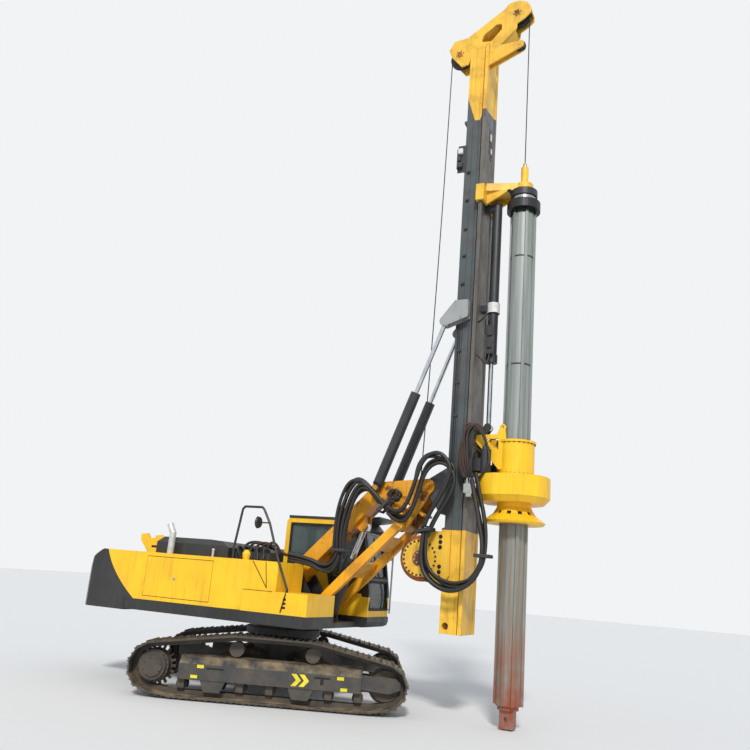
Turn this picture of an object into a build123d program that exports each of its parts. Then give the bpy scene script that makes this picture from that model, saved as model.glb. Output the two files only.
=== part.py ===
from build123d import *
import math
import os

os.makedirs("parts", exist_ok=True)

# A rotary drilling rig on crawlers, with a telescopic kelly bar, in millimetres.
# The origin is on the slewing axis at ground level: +X is the upper's heading, +Y its left, +Z up.
# The crawler stands turned under the upper by the swing angle, as the rig is parked.

# Running clearances
pin_fit = 0.08  # radial gap of a pin in its own hinge
rod_fit = 0.5  # radial gap of a rod in its gland
open_fit = 1.5  # radial gap at a pivot where a linkage is open
side_gap = 6  # gap between cheeks, bosses and sliding guides
seat = 0.3  # gap of a piece that rests beside another
bearing_gap = 0.4  # radial gap of a large ring or spigot in its seat
chain_gap = 0.8  # gap of the rollers over the straight chain

# Crawler
swing = 24.5  # degrees
gauge = 2390
shoe_width = 600
shoe_count = 49
plate_height = 12
grouser_height = 38  # shoe's inner face to the tips of its bars
rail_height = 75
rail_inside = 35
rail_outside = 80
sprocket_x = -1740
sprocket_z = 425
sprocket_wrap = 337  # radius of the shoes' inner faces round the sprocket
idler_x = 1730
idler_z = 400
idler_wrap = 312
carrier_xs = (-540, 610)
carrier_z = 738
carrier_radius = 112
roller_count = 7
roller_first = -1300
roller_last = 1330
roller_radius = 85
frame_rear = -1340
frame_front = 1370
frame_half = 235
frame_low = 285
frame_side_top = 505
frame_top = 620
frame_recess = 45
frame_recess_half = 165
cover_face = 1425  # centre line to the final drive cover
car_low = 430
ring_radius = 610
ring_top = 1030
spigot_radius = 250

tooth_count = 21
# Final drive's steps: radius, how far short of the cover face, number of sides
cover_steps = ((232, 75, 36), (196, 25, 36), (150, 0, 24))
hub_radius = 150
roller_shaft = 34

# Upper's deck and bodywork
deck_low = 1130
deck_top = 1210
body_low = 1300
body_top = 2060
body_half = 1350
channel_half = 460  # half the open channel that holds the boom
tail_x = -3340
weight_front = -2310
weight_low = 1110
side_front = 520  # front of the right housing over the tank box
tank_rear = -20
right_bevel = (-300, 260, 100)  # where each nose steps in, over what length, how far
left_bevel = (-590, 60, 30)
left_front = -520
tank_front = 1140
tank_top = 1620
hood_rear = -2030
hood_front = -560
hood_half = 1080
hood_top = 2340
door_rear = -1950
door_front = -620
door_margin = 60
door_thick = 34
door_depth = 240
hinge_radius = 5
knuckle_radius = 14
knuckle_length = 90
hood_hinge = (-2050, 2090)
hood_hinge_y = 700
louvre_count = 6
valve_count = 5
exhaust_foot = (-1640, -1180)

# Cab
cab_rear = -440
cab_front = 1290
cab_inner_y = 470
cab_outer_y = body_half
cab_top = 2880
cab_wall = 60
glass_thick = 8
visor_thick = 45

# Boom linkage, side view positions (x, z)
boom_foot = (200, 1900)
strut_foot = (650, 1325)
link_run = 1450  # run and rise of boom and struts as parked
boom_head = (boom_foot[0] + link_run, boom_foot[1] + link_run)
strut_head = (strut_foot[0] + link_run, strut_foot[1] + link_run)
boom_half = 200
foot_plate = 60
foot_inner = boom_half + side_gap
foot_outer = foot_inner + foot_plate
strut_inner = foot_outer + side_gap + 40
strut_outer = strut_inner + 100
pin_radius = 45
mast_pivot = (2500, 3420)
cheek_plate = 50
cheek_inner = boom_half + side_gap
cheek_outer = cheek_inner + cheek_plate
luff_base = (850, 1340)
luff_eye = (1345, 2745)
luff_barrel_radius = 105
luff_barrel_length = 930
luff_rod_radius = 52
luff_rod_length = 950
luff_eye_half = 55

# Mast cylinders
cylinder_y = 347
cylinder_radius = 84
cylinder_length = 1690
cylinder_rod_radius = 38
cylinder_rod_length = 1765
cylinder_eye_half = 42
rod_eye = (2680, 6150)

# Mast
mast_rear = 2830
mast_box_front = 3100
mast_half = 260
ridge_height = 12
mast_face = 3186  # front face between the rails
neck_half = 220
rail_rear = 3140
rail_front = 3200
rail_half = 340
mast_low = 1220
mast_joint_low = 2750
mast_joint_high = 10000
mast_top = 11560
winch_centre = (2460, 2300)
winch_flange_radius = 355
winch_drum_radius = 210
winch_half = 215
winch_shaft = 60
plate_hole_zs = (2030, 2110, 2190, 2480, 2560, 2640)
head_rear_sheave = (2580, 11590)
head_front_sheave = (3650, 12235)
aux_sheave = (3760, 11420)
aux_y = -220
sheave_radius = 220
groove_depth = 28
sheave_half = 30
head_half = 120
head_plate = 30

# Kelly and rotary drive
kelly_x = 3850
kelly_radius = 190
kelly_wall = 20
kelly_keys = 6
key_width = 46
key_height = 30
kelly_low = 330
kelly_top = 8180
spindle_radius = 60
inner_radius = 155
inner_wall = 30
stub_size = 200
stub_low = 20
sleeve_bore = 228
sleeve_radius = 262
drum_radius = 288
gear_radius = 505
gear_low = 3300
gear_top = 3620
motor_x = 3460
motor_y = 336
motor_radius = 84
slot_count = 12
rotary_low = 2900
rotary_top = 4180
crowd_x = 3390
crowd_radius = 84
crowd_rod_radius = 40
crowd_low = 5500
crowd_top = 8390
crowd_lug_z = 4420
carriage_low = 3560
carriage_high = 4340
carriage_plate = 60
guide_low = 8340
guide_high = 8640
guide_arm_z = 8635
damper_radius = 228


# Bars and boxes stand on their own end, not on their middle
on_end = (Align.CENTER, Align.CENTER, Align.MIN)


def save(piece, name, turned=False):
    """Labels a finished piece and writes it; crawler pieces turn by the swing angle first."""
    solid = piece.rotate(Axis.Z, swing) if turned else piece
    solid.label = name
    export_step(solid, f"parts/{name}.step")


def save_pair(piece, name, turned=False):
    """Writes a right-hand piece and its mirror image on the left."""
    save(piece, name + "_right", turned)
    save(mirror(piece, about=Plane.XZ), name + "_left", turned)


def side(y):
    """A plane seen from the machine's right: x forward, y up, growing towards -Y."""
    return Plane.XZ.offset(-y)


def rod(start, end, radius):
    """A round bar between two points, added to the part being built."""
    axis = Vector(*end) - Vector(*start)
    place = Plane(origin=start, z_dir=axis)
    with Locations(place):
        Cylinder(radius, axis.length, align=on_end)


def cross_bar(centre, radius, low_y, high_y, mode=Mode.ADD):
    """A round bar or bore along Y at a side view position."""
    with Locations(Plane(origin=(centre[0], low_y, centre[1]), z_dir=(0, 1, 0))):
        Cylinder(radius, high_y - low_y, align=on_end, mode=mode)


def slab(low, high, mode=Mode.ADD):
    """A box between two corners."""
    size = [b - a for a, b in zip(low, high)]
    middle = [(a + b) / 2 for a, b in zip(low, high)]
    with Locations(tuple(middle)):
        Box(*size, mode=mode)


def faceted(centre, radius, sides, low_y, high_y, mode=Mode.ADD):
    """A many-sided bar along Y, for rounds that are small, hidden or repeated."""
    with BuildSketch(side(high_y)) as section:
        with Locations(centre):
            RegularPolygon(radius, sides)
    extrude(section.sketch, amount=high_y - low_y, mode=mode)


def side_plate(outline, low_y, high_y, rounds=(), holes=()):
    """A plate across Y from its side view outline, with round ends and holes given as (x, z, radius)."""
    with BuildSketch(side(high_y)) as section:
        Polygon(*outline, align=None)
        for x, z, radius in rounds:
            with Locations((x, z)):
                Circle(radius)
        for x, z, radius in holes:
            with Locations((x, z)):
                Circle(radius, mode=Mode.SUBTRACT)
    extrude(section.sketch, amount=high_y - low_y)


def pin_up(x, y, low_z, high_z, radius, mode=Mode.ADD):
    """An upright round pin or bore."""
    with Locations((x, y, low_z)):
        Cylinder(radius, high_z - low_z, align=on_end, mode=mode)


def hinge_pins(x, y, heights):
    """A door post's share of its hinges: a recess for each knuckle, and the pin through it."""
    for z in heights:
        pin_up(x, y, z - 1, z + knuckle_length + 1, knuckle_radius + side_gap, mode=Mode.SUBTRACT)
        pin_up(x, y, z - 30, z + knuckle_length + 30, hinge_radius)


def hinge_knuckles(x, y, heights):
    """A door's share of its hinges."""
    for z in heights:
        pin_up(x, y, z, z + knuckle_length, knuckle_radius)
        pin_up(x, y, z, z + knuckle_length, hinge_radius + pin_fit, mode=Mode.SUBTRACT)


def hull_outline(circles):
    """The runs and arcs of a belt pulled round circles (x, z, radius), anticlockwise."""
    normals = []
    for (xa, za, ra), (xb, zb, rb) in zip(circles, circles[1:] + circles[:1]):
        heading = math.atan2(zb - za, xb - xa)
        normals.append(heading - math.acos((ra - rb) / math.hypot(xb - xa, zb - za)))
    pieces = []
    for i, (x, z, r) in enumerate(circles):
        start, stop = normals[i - 1], normals[i]
        while stop < start:
            stop += 2 * math.pi
        pieces.append(("arc", (x, z), r, start, stop))
        xb, zb, rb = circles[(i + 1) % len(circles)]
        first = (x + r * math.cos(stop), z + r * math.sin(stop))
        last = (xb + rb * math.cos(stop), zb + rb * math.sin(stop))
        pieces.append(("run", first, last))
    return pieces


def walk(pieces, count):
    """Points spaced evenly by length along the runs and arcs."""
    lengths = [p[2] * (p[4] - p[3]) if p[0] == "arc" else math.dist(p[1], p[2]) for p in pieces]
    pitch = sum(lengths) / count
    points = []
    for k in range(count):
        left = k * pitch
        i = 0
        while left > lengths[i]:
            left -= lengths[i]
            i += 1
        piece = pieces[i]
        if piece[0] == "arc":
            angle = piece[3] + left / piece[2]
            (x, z), radius = piece[1], piece[2]
            points.append((x + radius * math.cos(angle), z + radius * math.sin(angle)))
        else:
            share = left / lengths[i]
            points.append(tuple(a + share * (b - a) for a, b in zip(piece[1], piece[2])))
    return points


def offset_ring(points, height):
    """The same ring of points moved outwards by a height."""
    moved = []
    for before, here, after in zip(points[-1:] + points[:-1], points, points[1:] + points[:1]):
        run, rise = after[0] - before[0], after[1] - before[1]
        length = math.hypot(run, rise)
        moved.append((here[0] + height * rise / length, here[1] - height * run / length))
    return moved


# One shoe along its pitch: share of the pitch, height over the shoe's inner face
shoe_profile = (
    (0.00, plate_height / 2),
    (0.05, grouser_height),
    (0.13, plate_height),
    (0.43, plate_height),
    (0.50, grouser_height - 5),
    (0.57, plate_height),
    (0.87, plate_height),
    (0.95, grouser_height),
)


def track_joints():
    """Where the shoes meet, on the shoes' inner faces, all the way round."""
    bottom_z = grouser_height + rail_height + roller_radius
    wheels = [
        (roller_first - 100, bottom_z, roller_radius + rail_height),
        (roller_last + 115, bottom_z, roller_radius + rail_height),
        (idler_x, idler_z, idler_wrap),
        (carrier_xs[1], carrier_z, carrier_radius + 8 + rail_height),
        (carrier_xs[0], carrier_z, carrier_radius + 8 + rail_height),
        (sprocket_x, sprocket_z, sprocket_wrap),
    ]
    return walk(hull_outline(wheels), shoe_count)


def make_tracks():
    """Shoes and two link rails as one closed loop."""
    joints = track_joints()
    outer = []
    for a, b in zip(joints, joints[1:] + joints[:1]):
        run, rise = b[0] - a[0], b[1] - a[1]
        length = math.hypot(run, rise)
        for share, height in shoe_profile:
            x = a[0] + share * run + height * rise / length
            outer.append((x, a[1] + share * rise - height * run / length))
    middle = -gauge / 2
    with BuildPart() as track:
        with BuildSketch(side(middle)):
            Polygon(*outer, align=None)
            Polygon(*offset_ring(joints, -10), align=None, mode=Mode.SUBTRACT)
        extrude(amount=shoe_width / 2, both=True)
        for low in (rail_inside, -rail_outside):
            with BuildSketch(side(middle + low + rail_outside - rail_inside)):
                Polygon(*offset_ring(joints, -6), align=None)
                Polygon(*offset_ring(joints, -rail_height), align=None, mode=Mode.SUBTRACT)
            extrude(amount=rail_outside - rail_inside)
    save_pair(track.part, "track", turned=True)


def make_track_frames():
    """The long side beam, its idler yoke, the final drive's bracket and the track guides."""
    middle = -gauge / 2
    with BuildPart() as frame:
        with BuildSketch(Plane.YZ.offset(frame_rear)):
            with BuildLine():
                Polyline(
                    (middle - frame_half, frame_low),
                    (middle - frame_half, frame_side_top),
                    (middle - (frame_half - 110), frame_top - 15),
                    (middle, frame_top),
                    (middle + (frame_half - 60), frame_top),
                    (middle + frame_half, frame_side_top),
                    (middle + frame_half, frame_low),
                    (middle + frame_recess_half, frame_low),
                    (middle + frame_recess_half, frame_low + frame_recess),
                    (middle - frame_recess_half, frame_low + frame_recess),
                    (middle - frame_recess_half, frame_low),
                    close=True,
                )
            make_face()
        extrude(amount=frame_front - frame_rear)
        for sign in (1, -1):
            with BuildSketch(side(middle + sign * (rail_outside + 60) + 40)):
                with BuildLine():
                    Polyline(
                        (frame_front - 5, frame_low + frame_recess + 5),
                        (idler_x + 60, idler_z - 95),
                        (idler_x + 225, idler_z - 30),
                        (idler_x + 225, idler_z + 60),
                        (idler_x + 150, frame_side_top + 15),
                        (frame_front - 5, frame_side_top + 25),
                        close=True,
                    )
                make_face()
            extrude(amount=80)
        inner = middle + 175
        with BuildSketch(side(inner + 35)):
            with Locations((sprocket_x, sprocket_z)):
                Circle(190)
            with BuildLine():
                Polyline(
                    (sprocket_x, sprocket_z - 190),
                    (frame_rear + 5, frame_low + 50),
                    (frame_rear + 5, frame_side_top),
                    (sprocket_x, sprocket_z + 190),
                    close=True,
                )
            make_face()
        extrude(amount=70)
        for guide_x in (-820, 480):
            for sign in (1, -1):
                with BuildSketch(side(middle + sign * 200 + 22)):
                    with BuildLine():
                        Polyline(
                            (guide_x - 190, frame_low + 5),
                            (guide_x - 120, 125),
                            (guide_x + 120, 125),
                            (guide_x + 190, frame_low + 5),
                            close=True,
                        )
                    make_face()
                extrude(amount=44)
    save_pair(frame.part, "track_frame", turned=True)


def make_sprockets():
    """Toothed wheel on its final drive, with the round cover on the outside."""
    middle = -gauge / 2
    reach = cover_face - gauge / 2
    tip, root = sprocket_wrap - 30, sprocket_wrap - rail_height - 14
    place = (sprocket_x, sprocket_z)
    with BuildPart() as sprocket:
        with BuildSketch(side(middle)):
            with Locations(place):
                RegularPolygon(root, 2 * tooth_count)
                with PolarLocations(root - 8, tooth_count):
                    Rectangle(tip - root + 8, 34, align=(Align.MIN, Align.CENTER))
        extrude(amount=26, both=True)
        for radius, short, sides in cover_steps:
            faceted(place, radius, sides, middle - reach + short, middle)
        faceted(place, hub_radius, 16, middle, middle + 140)
    save_pair(sprocket.part, "sprocket", turned=True)


def make_rollers():
    """Front idler, bottom rollers and carrier rollers, each on its own shaft and collars."""
    middle = -gauge / 2
    right, left = middle - rail_outside, middle + rail_outside
    bottom_z = grouser_height + rail_height + roller_radius
    recess_z = frame_low + frame_recess
    idler = (idler_x, idler_z)
    idler_radius = idler_wrap - rail_height - 14
    with BuildPart() as rollers:
        faceted(idler, idler_radius, 30, right, left)
        faceted(idler, idler_radius + 40, 30, middle - 26, middle + 26)
        faceted(idler, 70, 12, right - 20, left + 20)
        step = (roller_last - roller_first) / (roller_count - 1)
        for k in range(roller_count):
            x = roller_first + k * step
            faceted((x, bottom_z), roller_radius - chain_gap, 14, right, left)
            faceted((x, bottom_z), roller_shaft, 6, middle - 160, middle + 160)
            for sign in (1, -1):
                y = middle + sign * 130
                slab((x - 55, y - 30, bottom_z - 45), (x + 55, y + 30, recess_z))
        for x in carrier_xs:
            faceted((x, carrier_z), carrier_radius, 16, right, left)
            faceted((x, carrier_z), roller_shaft, 6, middle, middle + 160)
            slab((x - 50, middle + 105, frame_top), (x + 50, middle + 165, carrier_z + 50))
    save_pair(rollers.part, "rollers", turned=True)


def make_car_body():
    """Centre drum with the slewing ring's fixed half, and four legs out to the side beams."""
    beam_inner = gauge / 2 - frame_half
    with BuildPart() as car:
        drums = ((ring_radius - 30, car_low, ring_top - 109), (ring_radius, ring_top - 110, ring_top))
        for radius, low, high in drums:
            with BuildSketch(Plane.XY.offset(low)):
                RegularPolygon(radius, 32)
            extrude(amount=high - low)
        for fore in (1, -1):
            for hand in (1, -1):
                near_place = Plane((fore * 230, hand * 300, 610), x_dir=(1, 0, 0), z_dir=(0, hand, 0))
                with BuildSketch(near_place) as near:
                    Rectangle(460, 340)
                far_place = Plane((fore * 700, hand * beam_inner, 440), x_dir=(1, 0, 0), z_dir=(0, hand, 0))
                with BuildSketch(far_place) as far:
                    Rectangle(560, 210)
                loft(sections=[near.sketch, far.sketch])
        pin_up(0, 0, ring_top - 150, ring_top + 1, spigot_radius + bearing_gap, mode=Mode.SUBTRACT)
    save(car.part, "car_body", turned=True)


def make_deck():
    """Revolving deck: plate, edge skirts, slewing ring's moving half and the boom's foot plates."""
    rear = weight_front + 10
    cab_deck_front = cab_front + 20
    with BuildPart() as deck:
        slab((rear, -body_half, deck_low), (tank_front, channel_half + 1, deck_top))
        slab((rear, -body_half, deck_top - 1), (tank_front, -channel_half, body_low))
        slab((rear, -channel_half - 1, deck_top - 1), (left_front, channel_half + 1, body_low))
        slab((left_front - 30, -channel_half - 1, body_low - 1), (left_front, channel_half + 1, body_top))
        side_plate(
            (
                (rear, deck_low), (cab_deck_front - 90, deck_low), (cab_deck_front - 25, deck_low + 30),
                (cab_deck_front, deck_low + 90), (cab_deck_front, body_low), (rear, body_low),
            ),
            channel_half, body_half,
        )
        with BuildSketch(Plane.XY.offset(ring_top + side_gap)):
            RegularPolygon(ring_radius - 40, 32)
        extrude(amount=deck_low - ring_top)
        pin_up(0, 0, ring_top - 120, ring_top + side_gap + 1, spigot_radius)
        foot_outline = (
            (boom_foot[0] - 150, boom_foot[1]), (boom_foot[0] - 330, deck_top - 1),
            (strut_foot[0] + 120, deck_top - 1), (strut_foot[0] + 80, strut_foot[1] + 50),
            (boom_foot[0] + 130, boom_foot[1] + 75),
        )
        pin_bore = pin_radius + pin_fit
        for low_y in (foot_inner, -foot_outer):
            side_plate(
                foot_outline, low_y, low_y + foot_plate, rounds=((*boom_foot, 150), (*strut_foot, 95)),
                holes=((*boom_foot, pin_bore), (*strut_foot, pin_bore)),
            )
        base_x, base_z = luff_base
        lug_outline = (
            (base_x - 110, deck_top - 1), (base_x + 110, deck_top - 1),
            (base_x + 80, base_z), (base_x - 80, base_z),
        )
        for low_y in (luff_eye_half + side_gap, -luff_eye_half - side_gap - 35):
            side_plate(
                lug_outline, low_y, low_y + 35, rounds=((*luff_base, 80),), holes=((*luff_base, pin_bore),)
            )
    save(deck.part, "deck")


def make_counterweight():
    """Cast block closing the tail: bowed in plan, its rear face leaning forward into the rounded top."""
    with BuildPart() as weight:
        with BuildSketch(Plane.XY.offset(weight_low)):
            with BuildLine():
                Polyline(
                    (tail_x + 230, -body_half), (weight_front, -body_half), (weight_front, body_half),
                    (tail_x + 230, body_half), (tail_x + 95, body_half - 115),
                )
                ThreePointArc((tail_x + 95, body_half - 115), (tail_x, 0), (tail_x + 95, -body_half + 115))
                Line((tail_x + 95, -body_half + 115), (tail_x + 230, -body_half))
            make_face()
        extrude(amount=body_top - weight_low)
        with BuildSketch(side(body_half + 1)):
            with BuildLine():
                Polyline(
                    (tail_x + 420, body_top), (weight_front + 1, body_top), (weight_front + 1, weight_low),
                    (tail_x + 60, weight_low), (tail_x, weight_low + 170),
                )
                ThreePointArc(
                    (tail_x, weight_low + 170), (tail_x + 120, body_top - 270), (tail_x + 420, body_top)
                )
            make_face()
        extrude(amount=2 * body_half + 2, mode=Mode.INTERSECT)
    save(weight.part, "counterweight")


def make_side_housing(name, hand, lower_front, upper_front, bevel):
    """A side housing with its door bay; its nose steps in from the bevel, higher up than the tank box."""
    outer, inner = hand * body_half, hand * (channel_half + 5)
    bevel_rear, bevel_length, bevel_depth = bevel
    stepped = outer - hand * bevel_depth
    door_hinges = (body_low + 130, body_top - 220)
    with BuildPart() as housing:
        storeys = ((body_low, tank_top + 1, lower_front), (tank_top, body_top, upper_front))
        for low_z, high_z, front in storeys:
            with BuildSketch(Plane.XY.offset(low_z)):
                Polygon(
                    (weight_front + seat, inner), (front, inner), (front, stepped),
                    (bevel_rear + bevel_length, stepped), (bevel_rear, outer), (weight_front + seat, outer),
                    align=None,
                )
            extrude(amount=high_z - low_z)
        bay = sorted((outer + hand, hand * (body_half - door_depth)))
        slab(
            (door_rear, bay[0], body_low + door_margin), (door_front, bay[1], body_top - door_margin),
            mode=Mode.SUBTRACT,
        )
        hinge_pins(door_rear, outer, door_hinges)
        middle = hand * hood_hinge_y
        for low_y in (middle - 60, middle + 45):
            cross_bar(hood_hinge, knuckle_radius, low_y, low_y + 15)
            slab(
                (hood_hinge[0] - knuckle_radius, low_y, body_top - 1),
                (hood_hinge[0] + knuckle_radius, low_y + 15, hood_hinge[1]),
            )
        cross_bar(hood_hinge, hinge_radius, middle - 50, middle + 50)
    save(housing.part, f"housing_{name}")
    with BuildPart() as door:
        skin = sorted((outer, hand * (body_half - door_thick)))
        slab(
            (door_rear + 8, skin[0], body_low + door_margin + 8),
            (door_front - 8, skin[1], body_top - door_margin - 8),
        )
        if name == "left":
            for k in range(louvre_count):
                z = body_low + 200 + k * 60
                low, high = (door_rear + 120, outer - 12, z), (door_front - 120, outer + 1, z + 24)
                slab(low, high, mode=Mode.SUBTRACT)
        hinge_knuckles(door_rear, outer, door_hinges)
    save(door.part, f"side_door_{name}")


def make_bodywork():
    """Side housings and doors, tank box, engine block, hood, rear cover, exhaust, mast rest and handrail."""
    make_side_housing("right", -1, tank_rear - seat, side_front, right_bevel)
    make_side_housing("left", 1, left_front, left_front, left_bevel)
    with BuildPart() as tank:
        slab((tank_rear, -body_half, body_low), (tank_front, -channel_half - 5, tank_top - seat))
        slab(
            (side_front + seat, -body_half + 20, tank_top - 21),
            (tank_front - 20, -channel_half - 25, tank_top),
        )
    save(tank.part, "tank_box")
    with BuildPart() as engine:
        slab((-1900, -channel_half + 20, body_low), (left_front - 60, channel_half - 20, body_top - 60))
    save(engine.part, "engine_block")
    with BuildPart() as hood:
        side_plate(
            (
                (hood_rear, body_top + side_gap), (hood_front, body_top + side_gap),
                (hood_front, hood_top - 110), (hood_front - 160, hood_top - 20),
                (hood_front - 420, hood_top), (hood_rear + 90, hood_top), (hood_rear, hood_top - 90),
            ),
            -hood_half, hood_half,
        )
        with BuildSketch(Plane.YZ.offset(hood_rear)):
            Polygon(
                (-hood_half, body_top), (hood_half, body_top), (hood_half, hood_top - 90),
                (hood_half - 70, hood_top), (-hood_half + 70, hood_top), (-hood_half, hood_top - 90),
                align=None,
            )
        extrude(amount=hood_front - hood_rear, mode=Mode.INTERSECT)
        for middle in (-hood_hinge_y, hood_hinge_y):
            slab(
                (hood_hinge[0], middle - 43, hood_hinge[1] - 12),
                (hood_rear + 1, middle + 43, hood_hinge[1] + 12),
            )
            cross_bar(hood_hinge, knuckle_radius, middle - 43, middle + 43)
            cross_bar(hood_hinge, hinge_radius + pin_fit, middle - 44, middle + 44, mode=Mode.SUBTRACT)
    save(hood.part, "engine_hood")
    with BuildPart() as cover:
        slab(
            (weight_front + seat, -channel_half - 4.5, body_top - 40),
            (hood_rear - 20, channel_half + 4.5, body_top),
        )
    save(cover.part, "rear_cover")
    with BuildPart() as exhaust:
        pipe_x, pipe_y = exhaust_foot
        with BuildLine() as route:
            Polyline(
                (pipe_x, pipe_y, body_top),
                (pipe_x, pipe_y, body_top + 340),
                (pipe_x - 80, pipe_y, body_top + 480),
            )
        with BuildSketch(Plane((pipe_x, pipe_y, body_top), z_dir=(0, 0, 1))):
            RegularPolygon(55, 16)
        sweep(path=route.wire(), transition=Transition.RIGHT)
    save(exhaust.part, "exhaust")
    with BuildPart() as rest:
        slab((-2960, -230, body_top + seat), (-2570, 230, body_top + 40))
        for low_y in (-230, 170):
            side_plate(
                (
                    (-2960, body_top + 39), (-2600, body_top + 39), (-2530, 2325), (-2740, 2335),
                    (-2940, 2330), (-3000, 2410), (-3140, 2395), (-3130, 2280),
                ),
                low_y, low_y + 60,
            )
    save(rest.part, "mast_rest")
    make_handrail()
    with BuildPart() as valves:
        slab((-540, -900, body_top + seat), (120, -620, body_top + 130))
        for k in range(valve_count):
            x = -500 + k * 110
            slab((x - 38, -860, body_top + 129), (x + 38, -660, body_top + 190 + 25 * (k % 2)))
    save(valves.part, "valve_bank")


def make_handrail():
    """Bent tube over the right-hand housing, with the round mirror on its front leg."""
    rail_y = -body_half + 60
    bends = (
        (-310, 2250), (-230, 2840), (-190, 2880), (130, 2880), (170, 2850), (300, 2640), (500, 2150),
        (740, 1660),
    )
    ends = ((-310, body_top + seat), *bends, (740, tank_top + seat))
    with BuildPart() as rail:
        with BuildLine() as route:
            Polyline(*[(x, rail_y, z) for x, z in ends])
        with BuildSketch(Plane((ends[0][0], rail_y, ends[0][1]), z_dir=(0, 0, 1))):
            RegularPolygon(19, 10)
        sweep(path=route.wire(), transition=Transition.RIGHT)
        rod((300, rail_y, 2640), (109, rail_y, 2640), 11)
        with BuildSketch(Plane((80, rail_y, 2640), x_dir=(0, 1, 0), z_dir=(1, 0, 0))):
            RegularPolygon(95, 24)
        extrude(amount=30, taper=20)
    save(rail.part, "handrail")


def cab_outline(inset):
    """Side view of the cab, moved inwards by a wall."""
    return (
        (cab_rear + inset, body_low + inset),
        (cab_front - inset, body_low + inset),
        (cab_front + 10 - inset, 1700),
        (1120 - inset, 2760 - inset * 0.4),
        (1010 - inset, cab_top - inset),
        (cab_rear + 50 + inset, cab_top - inset),
        (cab_rear + inset, cab_top - 60 - inset),
    )


def make_cab():
    """Hollow cab with cut windows, its panes, sun visor, seat, console and hinged left door."""
    right_window = ((-340, 2790), (960, 2790), (1170, 1680), (560, 1680), (470, 2010), (-340, 2010))
    door_outline = ((150, 1345), (1130, 1345), (1140, 1700), (960, 2800), (150, 2800))
    door_window = ((235, 1950), (1020, 1950), (900, 2715), (235, 2715))
    left_window = ((-330, 2020), (40, 2020), (40, 2780), (-330, 2780))
    cab_hinges = (1500, 2550)
    middle = (cab_outer_y + cab_inner_y) / 2
    inside = (cab_outer_y - cab_inner_y) / 2 - cab_wall
    pane = inside - 15
    with BuildPart() as shell:
        side_plate(cab_outline(0), cab_inner_y, cab_outer_y)
        with BuildSketch(side(cab_outer_y - cab_wall)):
            Polygon(*cab_outline(cab_wall), align=None)
        extrude(amount=2 * inside, mode=Mode.SUBTRACT)
        cuts = (
            (right_window, cab_inner_y + cab_wall + 1),
            (door_outline, cab_outer_y + 1),
            (left_window, cab_outer_y + 1),
        )
        for outline, face_y in cuts:
            with BuildSketch(side(face_y)):
                Polygon(*outline, align=None)
            extrude(amount=cab_wall + 2, mode=Mode.SUBTRACT)
        for low_x, high_x, low_z, high_z in (
            (cab_front - 160, cab_front + 60, 1420, 1880),
            (cab_front - 330, cab_front + 60, 1950, 2740),
            (cab_rear - 10, cab_rear + 70, 2000, 2760),
        ):
            slab((low_x, middle - pane, low_z), (high_x, middle + pane, high_z), mode=Mode.SUBTRACT)
        hinge_pins(door_outline[0][0], cab_outer_y, cab_hinges)
    save(shell.part, "cab_shell")
    lower_pane = ((1262, 1420), (1266, 1700), (1241, 1880), (1233, 1880), (1258, 1700), (1254, 1420))
    upper_pane = ((1228, 1950), (1092, 2740), (1083, 2740), (1219, 1950))
    rear_pane = (
        (cab_rear + 25, 2000), (cab_rear + 25 + glass_thick, 2000), (cab_rear + 25 + glass_thick, 2760),
        (cab_rear + 25, 2760),
    )
    right_y = cab_inner_y + cab_wall / 2
    left_y = cab_outer_y - cab_wall / 2
    with BuildPart() as panes:
        side_plate(right_window, right_y - glass_thick, right_y)
        side_plate(left_window, left_y - glass_thick, left_y)
        for outline in (lower_pane, upper_pane, rear_pane):
            side_plate(outline, middle - pane, middle + pane)
    save(panes.part, "cab_glass")
    with BuildPart() as visor:
        slab((-400, cab_inner_y - 10, cab_top + seat), (1010, cab_outer_y - 20, cab_top + visor_thick))
        peak = (
            (1000, cab_top + seat), (1400, cab_top + 60), (1400, cab_top + 85), (1000, cab_top + visor_thick)
        )
        side_plate(peak, cab_inner_y - 10, cab_outer_y - 20)
    save(visor.part, "cab_visor")
    floor = body_low + cab_wall
    seat_half = inside - 150
    with BuildPart() as seat_piece:
        slab((0, middle - seat_half + 50, floor), (420, middle + seat_half - 50, floor + 260))
        slab((-20, middle - seat_half, floor + 260), (500, middle + seat_half, floor + 380))
        back = ((-20, floor + 380), (110, floor + 380), (20, floor + 1080), (-90, floor + 1080))
        side_plate(back, middle - seat_half, middle + seat_half)
    save(seat_piece.part, "seat")
    with BuildPart() as console:
        for hand in (1, -1):
            ends = sorted((middle + hand * (seat_half + 10), middle + hand * (seat_half + 95)))
            slab((60, ends[0], floor), (520, ends[1], floor + 560))
            lever_y = sum(ends) / 2
            rod((480, lever_y, floor + 559), (490, lever_y, floor + 760), 18)
    save(console.part, "console")
    with BuildPart() as door:
        with BuildSketch(side(cab_outer_y)):
            Polygon(*door_outline, align=None)
            offset(amount=-side_gap, kind=Kind.INTERSECTION, mode=Mode.REPLACE)
            Polygon(*door_window, align=None, mode=Mode.SUBTRACT)
        extrude(amount=cab_wall - side_gap)
        hinge_knuckles(door_outline[0][0], cab_outer_y, cab_hinges)
    save(door.part, "cab_door")
    with BuildPart() as door_pane:
        side_plate(door_window, cab_outer_y - 20 - glass_thick, cab_outer_y - 20)
    save(door_pane.part, "door_glass")


def beam_outline(start, end, first, middle, last):
    """Four-sided-plus outline of a beam between two pins, with half depths at foot, middle and head."""
    run, rise = end[0] - start[0], end[1] - start[1]
    length = math.hypot(run, rise)
    across = (-rise / length, run / length)
    stations = ((0, first), (0.42, middle), (1, last))
    upper = [(start[0] + s * run + h * across[0], start[1] + s * rise + h * across[1]) for s, h in stations]
    lower = [(start[0] + s * run - h * across[0], start[1] + s * rise - h * across[1]) for s, h in stations]
    return upper + lower[::-1]


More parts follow.
